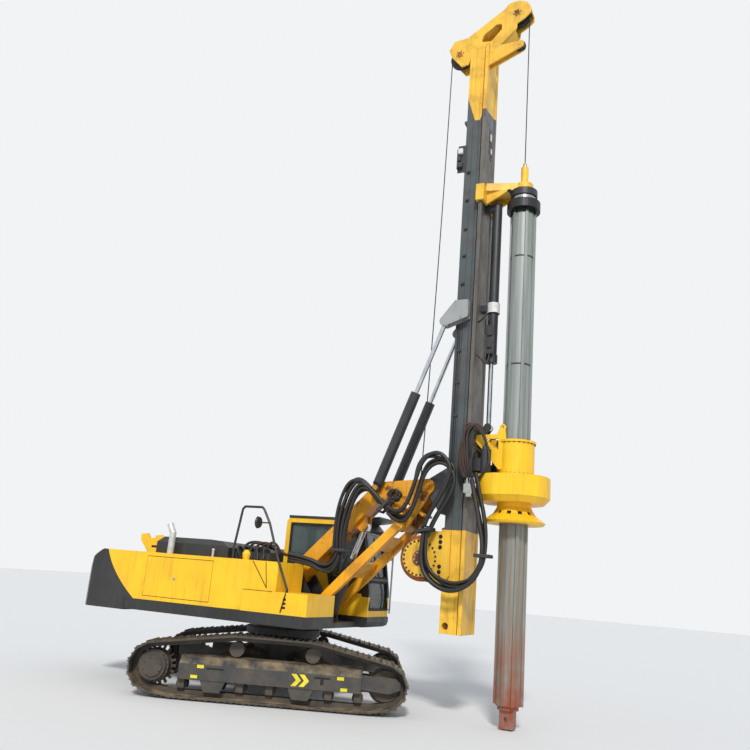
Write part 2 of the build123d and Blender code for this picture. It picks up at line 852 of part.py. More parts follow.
def make_boom():
    """Box boom between the deck's foot plates and the end frame, with the luffing cylinder's lugs."""
    eye_x, eye_z = luff_eye
    lug_outline = (
        (eye_x - 70, eye_z - 40), (eye_x - 190, eye_z + 10), (eye_x - 90, eye_z + 130),
        (eye_x + 50, eye_z + 230), (eye_x + 75, eye_z + 20),
    )
    with BuildPart() as boom:
        side_plate(
            beam_outline(boom_foot, boom_head, 125, 118, 125), -boom_half, boom_half,
            rounds=((*boom_foot, 130), (*boom_head, 130)), holes=((*boom_head, pin_radius + pin_fit),),
        )
        cross_bar(boom_foot, pin_radius, -foot_outer, foot_outer)
        for low_y in (luff_eye_half + side_gap, -luff_eye_half - side_gap - 40):
            side_plate(lug_outline, low_y, low_y + 40, rounds=((*luff_eye, 80),))
        recess_half = luff_eye_half + side_gap
        cross_bar(luff_eye, luff_rod_radius + 93, -recess_half, recess_half, mode=Mode.SUBTRACT)
    save(boom.part, "boom")


def make_struts():
    """Two side struts under the boom, tied by two cross plates."""
    with BuildPart() as struts:
        for low_y in (strut_inner, -strut_outer):
            side_plate(
                beam_outline(strut_foot, strut_head, 60, 78, 66), low_y, low_y + strut_outer - strut_inner,
                rounds=((*strut_foot, 85), (*strut_head, 85)), holes=((*strut_head, pin_radius + open_fit),),
            )
        cross_bar(strut_foot, pin_radius, foot_inner, strut_inner + 1)
        cross_bar(strut_foot, pin_radius, -strut_inner - 1, -foot_inner)
        for share, length in ((0.5, 330), (0.8, 300)):
            spot = (strut_foot[0] + share * link_run, strut_foot[1] + share * link_run)
            with Locations(Plane((spot[0], 0, spot[1]), x_dir=(0, 1, 0), z_dir=(-1, 0, 1))):
                Box(2 * strut_inner + 2, length, 30)
    save(struts.part, "struts")


def make_end_frame():
    """Triangular frame at the boom's head: it holds the struts, the mast and the mast cylinders."""
    outline = (
        (boom_head[0] - 60, boom_head[1] + 110), (mast_pivot[0] + 20, mast_pivot[1] + 118),
        (mast_pivot[0] + 110, mast_pivot[1] - 40), (strut_head[0] + 95, strut_head[1] - 25),
        (strut_head[0] - 90, strut_head[1] - 20), (boom_head[0] - 120, boom_head[1] - 40),
    )
    opening = ((1905, 3190), (2140, 3250), (2230, 3120), (2110, 2960))
    reach = cylinder_y + cylinder_eye_half + side_gap + 25
    with BuildPart() as frame:
        for low_y in (cheek_inner, -cheek_outer):
            side_plate(
                outline, low_y, low_y + cheek_plate,
                rounds=((*boom_head, 125), (*mast_pivot, 120), (*strut_head, 95)),
            )
            with BuildSketch(side(low_y + cheek_plate)):
                Polygon(*opening, align=None)
            extrude(amount=cheek_plate, mode=Mode.SUBTRACT)
        cross_bar(boom_head, pin_radius, -reach, reach)
        cross_bar(mast_pivot, pin_radius + 5, -cheek_outer - 20, cheek_outer + 20)
        faceted(strut_head, 80, 12, -cheek_inner - 1, cheek_inner + 1)
        cross_bar(strut_head, pin_radius, -strut_outer - 12, strut_outer + 12)
        eye_side = cylinder_y - cylinder_eye_half - side_gap
        for spot, far in ((boom_head, eye_side), (strut_head, strut_inner - side_gap)):
            faceted(spot, 75, 12, cheek_outer - 1, far)
            faceted(spot, 75, 12, -far, -cheek_outer + 1)
        with Locations(Plane((2270, 0, 3080), x_dir=(0, 1, 0), z_dir=(-0.82, 0, 0.57))):
            Box(2 * cheek_inner + 2, 40, 420)
    save(frame.part, "end_frame")


def make_cylinder(barrel_name, rod_name, base, eye, y, sizes, pair=False):
    """A hollow barrel with its foot eye, and a rod with its own eye, at one side view position."""
    barrel_radius, barrel_length, rod_radius, rod_length, eye_half = sizes
    reach = math.dist(base, eye)
    axis = Plane((base[0], y, base[1]), x_dir=(0, 1, 0), z_dir=(eye[0] - base[0], 0, eye[1] - base[1]))
    foot_radius = barrel_radius * 0.8
    with BuildPart() as barrel:
        with Locations(axis.offset(foot_radius * 0.55)):
            Cylinder(barrel_radius, barrel_length - foot_radius * 0.55, align=on_end)
        cross_bar(base, foot_radius + 30, y - eye_half - 50, y + eye_half + 50, mode=Mode.SUBTRACT)
        cross_bar(base, foot_radius, y - eye_half, y + eye_half)
        with Locations(axis):
            Box(2 * eye_half, foot_radius * 1.2, foot_radius + 60, align=on_end)
        with Locations(axis.offset(110)):
            Cylinder(barrel_radius - 16, barrel_length - 200, align=on_end, mode=Mode.SUBTRACT)
        with Locations(axis.offset(100)):
            Cylinder(rod_radius + rod_fit, barrel_length, align=on_end, mode=Mode.SUBTRACT)
        cross_bar(base, pin_radius + pin_fit, y - eye_half - 1, y + eye_half + 1, mode=Mode.SUBTRACT)
    with BuildPart() as piston:
        with Locations(axis.offset(reach - rod_length)):
            Cylinder(rod_radius, rod_length - 30, align=on_end)
        cross_bar(eye, rod_radius + 32, y - eye_half, y + eye_half)
    if pair:
        save_pair(barrel.part, barrel_name)
        save_pair(piston.part, rod_name)
    else:
        save(barrel.part, barrel_name)
        save(piston.part, rod_name)


def make_cylinders():
    """The luffing cylinder under the boom and the two mast cylinders."""
    luff = (luff_barrel_radius, luff_barrel_length, luff_rod_radius, luff_rod_length, luff_eye_half)
    make_cylinder("luff_barrel", "luff_rod", luff_base, luff_eye, 0, luff)
    mast = (cylinder_radius, cylinder_length, cylinder_rod_radius, cylinder_rod_length, cylinder_eye_half)
    make_cylinder("mast_barrel", "mast_rod", boom_head, rod_eye, -cylinder_y, mast, pair=True)
    with BuildPart() as pin:
        cross_bar(luff_base, pin_radius, -luff_eye_half - side_gap - 35, luff_eye_half + side_gap + 35)
    save(pin.part, "luff_pin")


def mast_outline():
    """Plan section of the mast: ridged box, neck, and the front plate whose edges are the rails."""
    half = (
        (mast_rear, mast_half), (2945, mast_half), (2955, mast_half + ridge_height),
        (3050, mast_half + ridge_height), (3060, mast_half), (mast_box_front, mast_half),
        (mast_box_front, neck_half), (rail_rear, neck_half), (rail_rear, rail_half),
        (rail_front, rail_half), (rail_front, rail_half - 85), (mast_face, rail_half - 97),
    )
    return tuple(half) + tuple((x, -y) for x, y in half[::-1])


def make_winch_plates():
    """The winch's round side plates and the drilled plates that carry them on the mast's back."""
    winch_x, winch_z = winch_centre
    outline = (
        (mast_rear + 120, mast_joint_low - 30), (2640, mast_joint_low - 30), (winch_x + 60, winch_z + 270),
        (winch_x + 60, winch_z - 270), (2660, 1960), (mast_rear + 20, 1930), (mast_rear + 120, 2060),
    )
    for low_y in (winch_half + 45, -winch_half - 85):
        side_plate(
            outline, low_y, low_y + 40, rounds=((*winch_centre, 285),),
            holes=((*winch_centre, winch_shaft + pin_fit),),
        )
        for z in plate_hole_zs:
            faceted((2790, z), 17, 6, low_y - 1, low_y + 41, mode=Mode.SUBTRACT)


def make_mast():
    """Mast in three bolted lengths with its pivot lug, winch plates and cylinder cheeks."""
    lengths = (
        ("mast_lower", mast_low, mast_joint_low),
        ("mast_main", mast_joint_low, mast_joint_high),
        ("mast_upper", mast_joint_high, mast_top),
    )
    pivot_x, pivot_z = mast_pivot
    eye_x, eye_z = rod_eye
    cheek_outline = (
        (eye_x - 60, eye_z + 60), (eye_x + 170, eye_z + 350), (3080, eye_z + 350), (3080, eye_z + 50),
        (eye_x + 30, eye_z - 80),
    )
    for name, low, high in lengths:
        with BuildPart() as mast:
            with BuildSketch(Plane.XY.offset(low)):
                Polygon(*mast_outline(), align=None)
            extrude(amount=high - low)
            for joint_z in (mast_joint_low, mast_joint_high):
                flange = ((high - 25, high) if joint_z == high else (low, low + 25))
                if joint_z in (low, high):
                    slab((mast_rear - 45, -mast_half, flange[0]), (mast_rear + 1, mast_half, flange[1]))
            if name == "mast_lower":
                make_winch_plates()
                faceted((2920, mast_low + 110), 55, 12, -mast_half - 20, mast_half + 20, mode=Mode.SUBTRACT)
            if name == "mast_main":
                side_plate(
                    (
                        (pivot_x, pivot_z + 125), (mast_rear + 1, pivot_z + 330),
                        (mast_rear + 1, pivot_z - 420), (mast_rear - 120, pivot_z - 420),
                        (pivot_x, pivot_z - 125),
                    ),
                    -boom_half, boom_half, rounds=((*mast_pivot, 125),),
                    holes=((*mast_pivot, pin_radius + 5 + pin_fit),),
                )
                inner_low = mast_half - 1
                inner_high = cylinder_y - cylinder_eye_half - side_gap
                outer_low = cylinder_y + cylinder_eye_half + side_gap
                for hand in (1, -1):
                    for near, far in ((inner_low, inner_high), (outer_low, outer_low + 30)):
                        ends = sorted((hand * near, hand * far))
                        side_plate(cheek_outline, *ends, rounds=((*rod_eye, 85),))
                    ends = sorted((hand * (inner_high - 1), hand * (outer_low + 1)))
                    slab((2940, ends[0], eye_z + 100), (3080, ends[1], eye_z + 350))
        save(mast.part, name)


def sheave_disc(spot, radius, hub, low_y):
    """A rope sheave: two rims beside a smaller grooved middle, bored for its pin."""
    with BuildPart() as sheave:
        faceted(spot, radius, 36, low_y, low_y + 18)
        faceted(spot, radius - groove_depth, 36, low_y + 17, low_y + 2 * sheave_half - 17)
        faceted(spot, radius, 36, low_y + 2 * sheave_half - 18, low_y + 2 * sheave_half)
        cross_bar(spot, hub + pin_fit, low_y - 1, low_y + 2 * sheave_half + 1, mode=Mode.SUBTRACT)
    return sheave.part


def make_head():
    """Mast head with its cap over the front sheave, the auxiliary arm, the sheaves and the winch drum."""
    rear, front, aux = head_rear_sheave, head_front_sheave, aux_sheave
    plate_outline = (
        (2360, 11720), (2460, 11900), (2720, 11920), (3420, 12385), (3470, 12460), (3560, 12495),
        (3700, 12495), (3830, 12430), (3905, 12300), (3905, 12190), (3800, 12090), (3660, 12010),
        (3650, 11900), (3350, 11600), (3250, mast_top), (mast_rear, mast_top), (2760, 11330),
        (2620, 11310), (2420, 11560),
    )
    opening = ((2985, 11760), (3030, 11900), (3270, 12080), (3370, 12070), (3370, 11950), (3180, 11730))
    half = head_half + head_plate
    with BuildPart() as head:
        for low_y in (head_half, -half):
            with BuildSketch(side(low_y + head_plate)):
                Polygon(*plate_outline, align=None)
                with BuildSketch(mode=Mode.SUBTRACT) as hole:
                    Polygon(*opening, align=None)
                    fillet(hole.vertices(), 40)
            extrude(amount=head_plate)
        slab((mast_rear + 5, -head_half - 1, mast_top), (3180, head_half + 1, mast_top + 60))
        for start, end in (((2850, 11920), (3330, 12210)), ((3360, 11640), (3620, 11890))):
            middle = ((start[0] + end[0]) / 2, 0, (start[1] + end[1]) / 2)
            heading = (end[0] - start[0], 0, end[1] - start[1])
            with Locations(Plane(middle, x_dir=(0, 1, 0), z_dir=heading)):
                Box(2 * head_half + 2, 20, math.dist(start, end))
        with BuildSketch(side(head_half + 1)):
            with BuildLine():
                outer = CenterArc(front, sheave_radius + 40, 5, 130)
                inner = CenterArc(front, sheave_radius + 22, 5, 130)
                Line(outer @ 0, inner @ 0)
                Line(outer @ 1, inner @ 1)
            make_face()
        extrude(amount=2 * head_half + 2)
        for spot in (rear, front):
            cross_bar(spot, 50, -half - 20, half + 20)
    save(head.part, "mast_head")
    with BuildPart() as arm:
        for low_y, face_x in ((aux_y + 45, mast_face + seat), (aux_y - 75, rail_front + seat)):
            side_plate(
                ((face_x, 11100), (face_x, 11480), (aux[0] - 40, aux[1] + 62), (aux[0] + 40, aux[1] - 62)),
                low_y, low_y + 30, rounds=((*aux, 72),),
            )
        cross_bar(aux, 25, aux_y - 80, aux_y + 80)
    save(arm.part, "aux_arm")
    save(sheave_disc(rear, sheave_radius, 50, -sheave_half), "rear_sheave")
    save(sheave_disc(front, sheave_radius, 50, -sheave_half), "front_sheave")
    save(sheave_disc(aux, 90, 25, aux_y - sheave_half), "aux_sheave")
    with BuildPart() as drum:
        faceted(winch_centre, winch_drum_radius, 30, -winch_half, winch_half)
        for low_y in (winch_half - 22, -winch_half):
            faceted(winch_centre, winch_flange_radius, 40, low_y, low_y + 22)
        cross_bar(winch_centre, winch_shaft, -winch_half - 85, winch_half + 85)
    save(drum.part, "winch_drum")


def make_crowd():
    """Crowd cylinder on the mast's front face: barrel with brackets, and the rod on the carriage."""
    with BuildPart() as barrel:
        rod((crowd_x, 0, crowd_low), (crowd_x, 0, crowd_top), crowd_radius)
        for low_z in (crowd_top - 120, crowd_low + 900):
            slab((mast_face + seat, -70, low_z), (crowd_x, 70, low_z + 110))
        collars = ((crowd_low, crowd_low + 140, 14), (crowd_low + 860, crowd_low + 1050, 20))
        for low_z, high_z, wider in collars:
            with BuildSketch(Plane.XY.offset(low_z)):
                with Locations((crowd_x, 0)):
                    RegularPolygon(crowd_radius + wider, 20)
            extrude(amount=high_z - low_z)
        pin_up(crowd_x, 0, crowd_low + 90, crowd_top - 60, crowd_radius - 18, mode=Mode.SUBTRACT)
        pin_up(crowd_x, 0, crowd_low - 1, crowd_low + 199, crowd_rod_radius + rod_fit, mode=Mode.SUBTRACT)
    save(barrel.part, "crowd_barrel")
    with BuildPart() as piston:
        rod((crowd_x, 0, crowd_lug_z + 45), (crowd_x, 0, crowd_low + 1950), crowd_rod_radius)
        cross_bar((crowd_x, crowd_lug_z), 60, -35, 35)
    save(piston.part, "crowd_rod")


def slide_guides(low, high, front_x):
    """A plate across the rails' faces with guides that hook behind both rails."""
    guide_out = rail_half + side_gap + 45
    hook_rear = rail_rear - side_gap - 34
    slab((rail_front + side_gap, -guide_out, low), (front_x, guide_out, high))
    for hand in (1, -1):
        ends = sorted((hand * (rail_half + side_gap), hand * guide_out))
        slab((hook_rear, ends[0], low), (rail_front + side_gap + 1, ends[1], high))
        ends = sorted((hand * (mast_half + 20), hand * guide_out))
        slab((hook_rear, ends[0], low), (rail_rear - side_gap, ends[1], high))
        for pad_z in (low + 20, high - 80):
            ends = sorted((hand * (rail_half - 80), hand * (rail_half - 10)))
            slab((rail_front + seat, ends[0], pad_z), (rail_front + side_gap + 1, ends[1], pad_z + 60))


def make_rotary():
    """Carriage with its motors on the rails, rotary housing with its brackets, and the driven sleeve."""
    plate_front = rail_front + side_gap + carriage_plate
    with BuildPart() as carriage:
        slide_guides(carriage_low, carriage_high, plate_front)
        for low_y in (41, -71):
            side_plate(
                (
                    (plate_front - 1, carriage_high - 200), (plate_front - 1, carriage_high),
                    (crowd_x - 40, crowd_lug_z + 45), (crowd_x + 50, crowd_lug_z - 30),
                ),
                low_y, low_y + 30, rounds=((crowd_x, crowd_lug_z, 60),),
            )
        cross_bar((crowd_x, crowd_lug_z), 24, -71, -35)
        cross_bar((crowd_x, crowd_lug_z), 24, 35, 71)
        for hand in (1, -1):
            pin_up(motor_x, hand * motor_y, gear_top + seat, gear_top + 380, motor_radius)
            ends = sorted((hand * (motor_y - 60), hand * (motor_y + 60)))
            slab((plate_front - 1, ends[0], gear_top + 40), (motor_x, ends[1], gear_top + 240))
    save(carriage.part, "carriage")
    gear_half = (
        (plate_front + seat, 300), (3440, 420), (3640, gear_radius),
        (4060, gear_radius), (4290, 340), (4375, 130),
    )
    gear_outline = gear_half + tuple((x, -y) for x, y in gear_half[::-1])
    bracket_half = (
        (plate_front + seat, 4140), (plate_front + seat, 4250), (3600, 4262), (3640, 4360),
        (3730, 4360), (3755, 4120), (3740, 3720), (3640, 3710),
    )
    bracket_hole = ((3440, 4185), (3630, 4195), (3630, 4020), (3555, 4055))
    with BuildPart() as housing:
        pin_up(kelly_x, 0, gear_top - 10, rotary_top, drum_radius)
        rings = (
            (gear_top - 1, gear_top + 36, drum_radius + 40), (rotary_top - 34, rotary_top, drum_radius + 20)
        )
        for low_z, high_z, radius in rings:
            with BuildSketch(Plane.XY.offset(low_z)):
                with Locations((kelly_x, 0)):
                    RegularPolygon(radius, 40)
            extrude(amount=high_z - low_z)
        with BuildSketch(Plane.XY.offset(gear_low)):
            Polygon(*gear_outline, align=None)
        extrude(amount=gear_top - gear_low)
        with BuildSketch(Plane((0, 0, gear_low + 1), x_dir=(1, 0, 0), z_dir=(0, 0, -1))):
            Polygon(*gear_outline, align=None)
        extrude(amount=90, taper=42)
        for low_y in (205, -245):
            side_plate(bracket_half, low_y, low_y + 40, rounds=((3690, 4375, 52),))
            with BuildSketch(side(low_y + 40)):
                Polygon(*bracket_hole, align=None)
            extrude(amount=40, mode=Mode.SUBTRACT)
            faceted((3690, 4378), 22, 8, low_y - 1, low_y + 41, mode=Mode.SUBTRACT)
        pin_up(kelly_x, 0, gear_low - 100, rotary_top + 1, sleeve_radius + bearing_gap, mode=Mode.SUBTRACT)
    save(housing.part, "rotary_housing")
    with BuildPart() as sleeve:
        with BuildSketch(Plane.XZ):
            Polygon(
                (kelly_x + sleeve_bore, rotary_low), (kelly_x + 455, rotary_low),
                (kelly_x + 475, rotary_low + 35), (kelly_x + 320, rotary_low + 150),
                (kelly_x + sleeve_radius, rotary_low + 250),
                (kelly_x + sleeve_radius, rotary_top - side_gap),
                (kelly_x + sleeve_bore, rotary_top - side_gap),
                align=None,
            )
        revolve(axis=Axis((kelly_x, 0, 0), (0, 0, 1)))
        with Locations(Plane((kelly_x, 0, rotary_low + 150))):
            with PolarLocations(drum_radius + 20, slot_count):
                Box(70, 66, 62, mode=Mode.SUBTRACT)
    save(sleeve.part, "drive_sleeve")


def make_kelly():
    """Kelly guide on the mast rails, swivel, outer kelly with drive keys, and the inner kelly."""
    plate_front = rail_front + side_gap + 40
    arm_low, arm_high = guide_arm_z - 70, guide_arm_z + 70
    stop_z = kelly_top + 160
    with BuildPart() as guide:
        slide_guides(guide_low, guide_high, plate_front)
        slab((rail_front, -130, guide_low - 1), (plate_front + 1, 130, crowd_top + 50), mode=Mode.SUBTRACT)
        with BuildSketch(Plane.XY.offset(arm_low)):
            Polygon(
                (plate_front - 1, -250), (plate_front - 1, 250), (kelly_x, 105), (kelly_x, -105), align=None
            )
            with Locations((kelly_x, 0)):
                RegularPolygon(150, 24)
        extrude(amount=arm_high - arm_low)
        with BuildSketch(Plane.XY.offset(kelly_top + 265)):
            with Locations((kelly_x, 0)):
                RegularPolygon(damper_radius, 36)
        extrude(amount=arm_low + 1 - kelly_top - 265)
        pin_up(kelly_x, 0, stop_z, kelly_top + 266, spindle_radius)
        for hand in (1, -1):
            ends = sorted((hand * 150, hand * 190))
            side_plate(
                ((plate_front - 1, guide_low), (plate_front - 1, arm_low + 1), (kelly_x - 190, arm_low + 1)),
                *ends,
            )
    save(guide.part, "kelly_guide")
    with BuildPart() as swivel:
        rod((kelly_x, 0, arm_high + seat), (kelly_x, 0, arm_high + 340), 64)
        rod((kelly_x, 0, arm_high + 339), (kelly_x, 0, arm_high + 430), 28)
    save(swivel.part, "kelly_swivel")
    with BuildPart() as kelly:
        with BuildSketch(Plane.XY.offset(kelly_low)):
            with Locations((kelly_x, 0)):
                Circle(kelly_radius)
                with PolarLocations(0, kelly_keys):
                    Rectangle(kelly_radius + key_height, key_width, align=(Align.MIN, Align.CENTER))
                Circle(kelly_radius - kelly_wall, mode=Mode.SUBTRACT)
        extrude(amount=kelly_top - kelly_low)
        for low_z, high_z, radius in ((kelly_top, stop_z, 282), (stop_z - 1, kelly_top + 255, 205)):
            with BuildSketch(Plane.XY.offset(low_z)):
                with Locations((kelly_x, 0)):
                    RegularPolygon(radius, 40)
            extrude(amount=high_z - low_z)
        pin_up(kelly_x, 0, stop_z - 10, kelly_top + 256, spindle_radius + pin_fit, mode=Mode.SUBTRACT)
    save(kelly.part, "kelly_outer")
    with BuildPart() as inner:
        with BuildSketch(Plane.XY.offset(kelly_low - 30)):
            with Locations((kelly_x, 0)):
                Circle(inner_radius)
                Circle(inner_radius - inner_wall, mode=Mode.SUBTRACT)
        extrude(amount=kelly_top - kelly_low - 20)
        with BuildSketch(Plane.XY.offset(kelly_top - 200)):
            with Locations((kelly_x, 0)):
                Circle(kelly_radius - kelly_wall - bearing_gap)
                Circle(inner_radius - 1, mode=Mode.SUBTRACT)
        extrude(amount=60)
        pin_up(kelly_x, 0, kelly_low - 60, kelly_low, inner_radius)
        half = stub_size / 2
        slab((kelly_x - half, -half, stub_low), (kelly_x + half, half, kelly_low - 59))
        cross_bar((kelly_x, 150), 30, -stub_size, stub_size, mode=Mode.SUBTRACT)
    save(inner.part, "kelly_inner")


make_tracks()
make_track_frames()
make_sprockets()
make_rollers()
make_car_body()
make_deck()
make_counterweight()
make_bodywork()
make_cab()
make_boom()
make_struts()
make_end_frame()
make_cylinders()
make_mast()
make_head()
make_crowd()
make_rotary()
make_kelly()
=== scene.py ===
import bpy
import bmesh
import math
from mathutils import Matrix, Vector


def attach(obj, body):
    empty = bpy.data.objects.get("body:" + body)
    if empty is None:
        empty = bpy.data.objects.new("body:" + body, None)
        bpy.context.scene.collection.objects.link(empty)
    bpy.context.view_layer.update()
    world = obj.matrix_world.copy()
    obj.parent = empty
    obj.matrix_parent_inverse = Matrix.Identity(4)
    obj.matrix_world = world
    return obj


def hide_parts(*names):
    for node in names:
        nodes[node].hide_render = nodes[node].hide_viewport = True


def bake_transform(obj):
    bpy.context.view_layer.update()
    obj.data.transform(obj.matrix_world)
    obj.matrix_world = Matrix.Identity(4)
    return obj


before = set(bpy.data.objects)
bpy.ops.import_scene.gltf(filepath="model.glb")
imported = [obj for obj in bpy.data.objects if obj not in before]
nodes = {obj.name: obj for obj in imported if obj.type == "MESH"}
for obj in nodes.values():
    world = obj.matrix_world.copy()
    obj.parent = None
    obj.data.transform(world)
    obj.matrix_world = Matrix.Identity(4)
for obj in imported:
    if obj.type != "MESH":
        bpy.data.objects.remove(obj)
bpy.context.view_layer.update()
pieces = []
print("frame loaded", len(nodes), "nodes")


# Colours and node helpers

def linear(hexCode):
    channels = [int(hexCode[i:i + 2], 16) / 255 for i in (1, 3, 5)]
    return tuple(c / 12.92 if c <= 0.04045 else ((c + 0.055) / 1.055) ** 2.4 for c in channels) + (1.0,)


# A node with its settings, and with sockets or plain values on its inputs
def addNode(tree, kind, settings=None, inputs=None):
    node = tree.nodes.new(kind)
    for key, value in (settings or {}).items():
        setattr(node, key, value)
    for key, value in (inputs or {}).items():
        if isinstance(value, bpy.types.NodeSocket):
            tree.links.new(value, node.inputs[key])
        else:
            node.inputs[key].default_value = value
    return node


def startMaterial(name):
    material = bpy.data.materials.new(name)
    material.use_nodes = True
    tree = material.node_tree
    tree.nodes.clear()
    shader = tree.nodes.new("ShaderNodeBsdfPrincipled")
    addNode(tree, "ShaderNodeOutputMaterial", inputs={"Surface": shader.outputs[0]})
    coords = tree.nodes.new("ShaderNodeTexCoord").outputs["Object"]
    return material, tree, shader, coords


# Clouds of each layer: scale, low end, high end and detail
clouds = dict(
    fade=(1.7, 0.35, 0.7, 5.0), streaks=(1.0, 0.52, 0.76, 5.0), mud=(0.7, 0.30, 0.62, 5.0),
    oilAndPaintedShade=(3.6, 0.50, 0.60, 12.0), chips=(34.0, 0.70, 0.74, 6.0), edges=(11.0, 0.45, 0.62, 5.0),
    dust=(5.5, 0.36, 0.70, 8.0), gloss=(4.0, 0.3, 0.7, 5.0), shade=(9.0, 0.3, 0.7, 5.0),
    drawnSteel=(1.0, 0.3, 0.7, 7.0), rust=(2.2, 0.34, 0.66, 8.0), clay=(3.0, 0.3, 0.6, 8.0),
    kellyGloss=(1.0, 0.2, 0.8, 7.0))


# A layer's clouds, cut to a mask or spread between two values
def patchMask(tree, coords, layer, spread=(0.0, 1.0)):
    scale, low, high, detail = clouds[layer]
    cloud = addNode(tree, "ShaderNodeTexNoise", inputs={
        "Vector": coords, "Scale": scale, "Detail": detail, "Roughness": 0.6})
    mask = addNode(tree, "ShaderNodeMapRange", inputs={
        "Value": cloud.outputs["Fac"], "From Min": low, "From Max": high, "To Min": spread[0],
        "To Max": spread[1]})
    return mask.outputs["Result"]


# One coat of colour over another, as far as the mask and the amount or a second mask let it
def coat(tree, under, over, mask, amount=1.0):
    weight = addNode(tree, "ShaderNodeMath", {"operation": "MULTIPLY", "use_clamp": True},
                     {0: mask, 1: amount}).outputs[0]
    return addNode(tree, "ShaderNodeMix", {"data_type": "RGBA"}, {0: weight, 6: under, 7: over}).outputs[2]


# A fine grain in the surface, with the hard edges rounded off in the light
def grain(tree, shader, coords, scale, strength, roundness=0.0):
    height = addNode(tree, "ShaderNodeTexNoise", inputs={"Vector": coords, "Scale": scale, "Detail": 3.0})
    node = addNode(tree, "ShaderNodeBump", inputs={"Strength": strength, "Distance": 0.002,
                                                   "Height": height.outputs["Fac"]})
    if roundness:
        rounded = addNode(tree, "ShaderNodeBevel", {"samples": 4}, {"Radius": roundness})
        tree.links.new(rounded.outputs[0], node.inputs["Normal"])
    tree.links.new(node.outputs[0], shader.inputs["Normal"])


# Dust that lies thicker near the ground and on faces that look up
def dustMask(tree, coords, topHeight):
    height = addNode(tree, "ShaderNodeSeparateXYZ", inputs={0: coords}).outputs[2]
    low = addNode(tree, "ShaderNodeMapRange", inputs={"Value": height, "From Max": topHeight, "To Min": 1.0,
                                                      "To Max": 0.12}).outputs[0]
    normal = addNode(tree, "ShaderNodeNewGeometry").outputs["Normal"]
    up = addNode(tree, "ShaderNodeSeparateXYZ", inputs={0: normal}).outputs[2]
    upward = addNode(tree, "ShaderNodeMapRange", inputs={"Value": up, "From Min": 0.05, "From Max": 0.8,
                                                         "To Min": 0.14}).outputs[0]
    most = addNode(tree, "ShaderNodeMath", {"operation": "MULTIPLY"}, {0: low, 1: upward}).outputs[0]
    return patchMask(tree, coords, "dust", (0.0, most))


# Where the rounded normal leaves the true one, at the worn edges
def edgeMask(tree, coords):
    rounded = addNode(tree, "ShaderNodeBevel", {"samples": 4}, {"Radius": 0.007}).outputs[0]
    flat = addNode(tree, "ShaderNodeNewGeometry").outputs["Normal"]
    match = addNode(tree, "ShaderNodeVectorMath", {"operation": "DOT_PRODUCT"}, {0: rounded, 1: flat})
    edge = addNode(tree, "ShaderNodeMapRange", inputs={"Value": match.outputs["Value"], "From Min": 0.97,
                                                       "From Max": 0.86}).outputs[0]
    return patchMask(tree, coords, "edges", (0.0, edge))


# Rules that give 1 at some places and 0 elsewhere. Each step names its result, the operation and what goes
# into it: numbers, the place's x, y and z, or earlier results

rules = {
    # ahead of the curved edge that runs down the tail, and above the skirt
    "tail": (("drop", "MULTIPLY_ADD", "z", -1.0, 2.06), ("slope", "MULTIPLY_ADD", "drop", 0.68, 0.40),
             ("edge", "MULTIPLY_ADD", "slope", "drop", -2.82), ("ahead", "GREATER_THAN", "x", "edge"),
             ("raised", "GREATER_THAN", "z", 1.302), ("inside", "MULTIPLY", "ahead", "raised")),
    # above an edge that points down in a V on the mast's sides and runs nearly level over its front
    "mastTop": (("across", "SUBTRACT", "x", 3.025), ("away", "ABSOLUTE", "across"),
                ("onSide", "MULTIPLY_ADD", "away", 3.2, 9.86), ("tip", "MAXIMUM", "onSide", 9.99),
                ("onFront", "MULTIPLY_ADD", "y", 0.25, 10.25), ("gap", "SUBTRACT", "onFront", "tip"),
                ("isFront", "GREATER_THAN", "x", 3.135), ("limit", "MULTIPLY_ADD", "isFront", "gap", "tip"),
                ("inside", "GREATER_THAN", "z", "limit")),
    # all but the cab's front pillars and the frame over them
    "cab": (("edge", "MULTIPLY_ADD", "z", -0.189, 1.475), ("behind", "LESS_THAN", "x", "edge"),
            ("low", "LESS_THAN", "z", 1.62), ("inside", "MAXIMUM", "behind", "low")),
    # the kelly guide above its damper ring
    "damper": (("over", "GREATER_THAN", "z", 8.567), ("behind", "LESS_THAN", "x", 3.6),
               ("inside", "MAXIMUM", "over", "behind")),
    # the mast but for the brackets of its cylinders
    "bracket": (("side", "ABSOLUTE", "y"), ("inner", "LESS_THAN", "side", 0.274),
                ("offset", "SUBTRACT", "z", 6.33), ("away", "ABSOLUTE", "offset"),
                ("clear", "GREATER_THAN", "away", 0.30), ("front", "GREATER_THAN", "x", 3.137),
                ("either", "MAXIMUM", "inner", "clear"), ("inside", "MAXIMUM", "either", "front")),
    # the mast's face that the drive slides along
    "mastFront": (("inside", "GREATER_THAN", "x", 3.137),),
    # the ring at the kelly's top
    "kellyRing": (("offset", "SUBTRACT", "z", 8.226), ("away", "ABSOLUTE", "offset"),
                  ("inside", "LESS_THAN", "away", 0.116)),
}


def followRule(tree, coords, name):
    results = dict(zip("xyz", addNode(tree, "ShaderNodeSeparateXYZ", inputs={0: coords}).outputs))
    for result, operation, *values in rules[name]:
        inputs = {k: results.get(value, value) for k, value in enumerate(values)}
        results[result] = addNode(tree, "ShaderNodeMath", {"operation": operation}, inputs).outputs[0]
    return results["inside"]
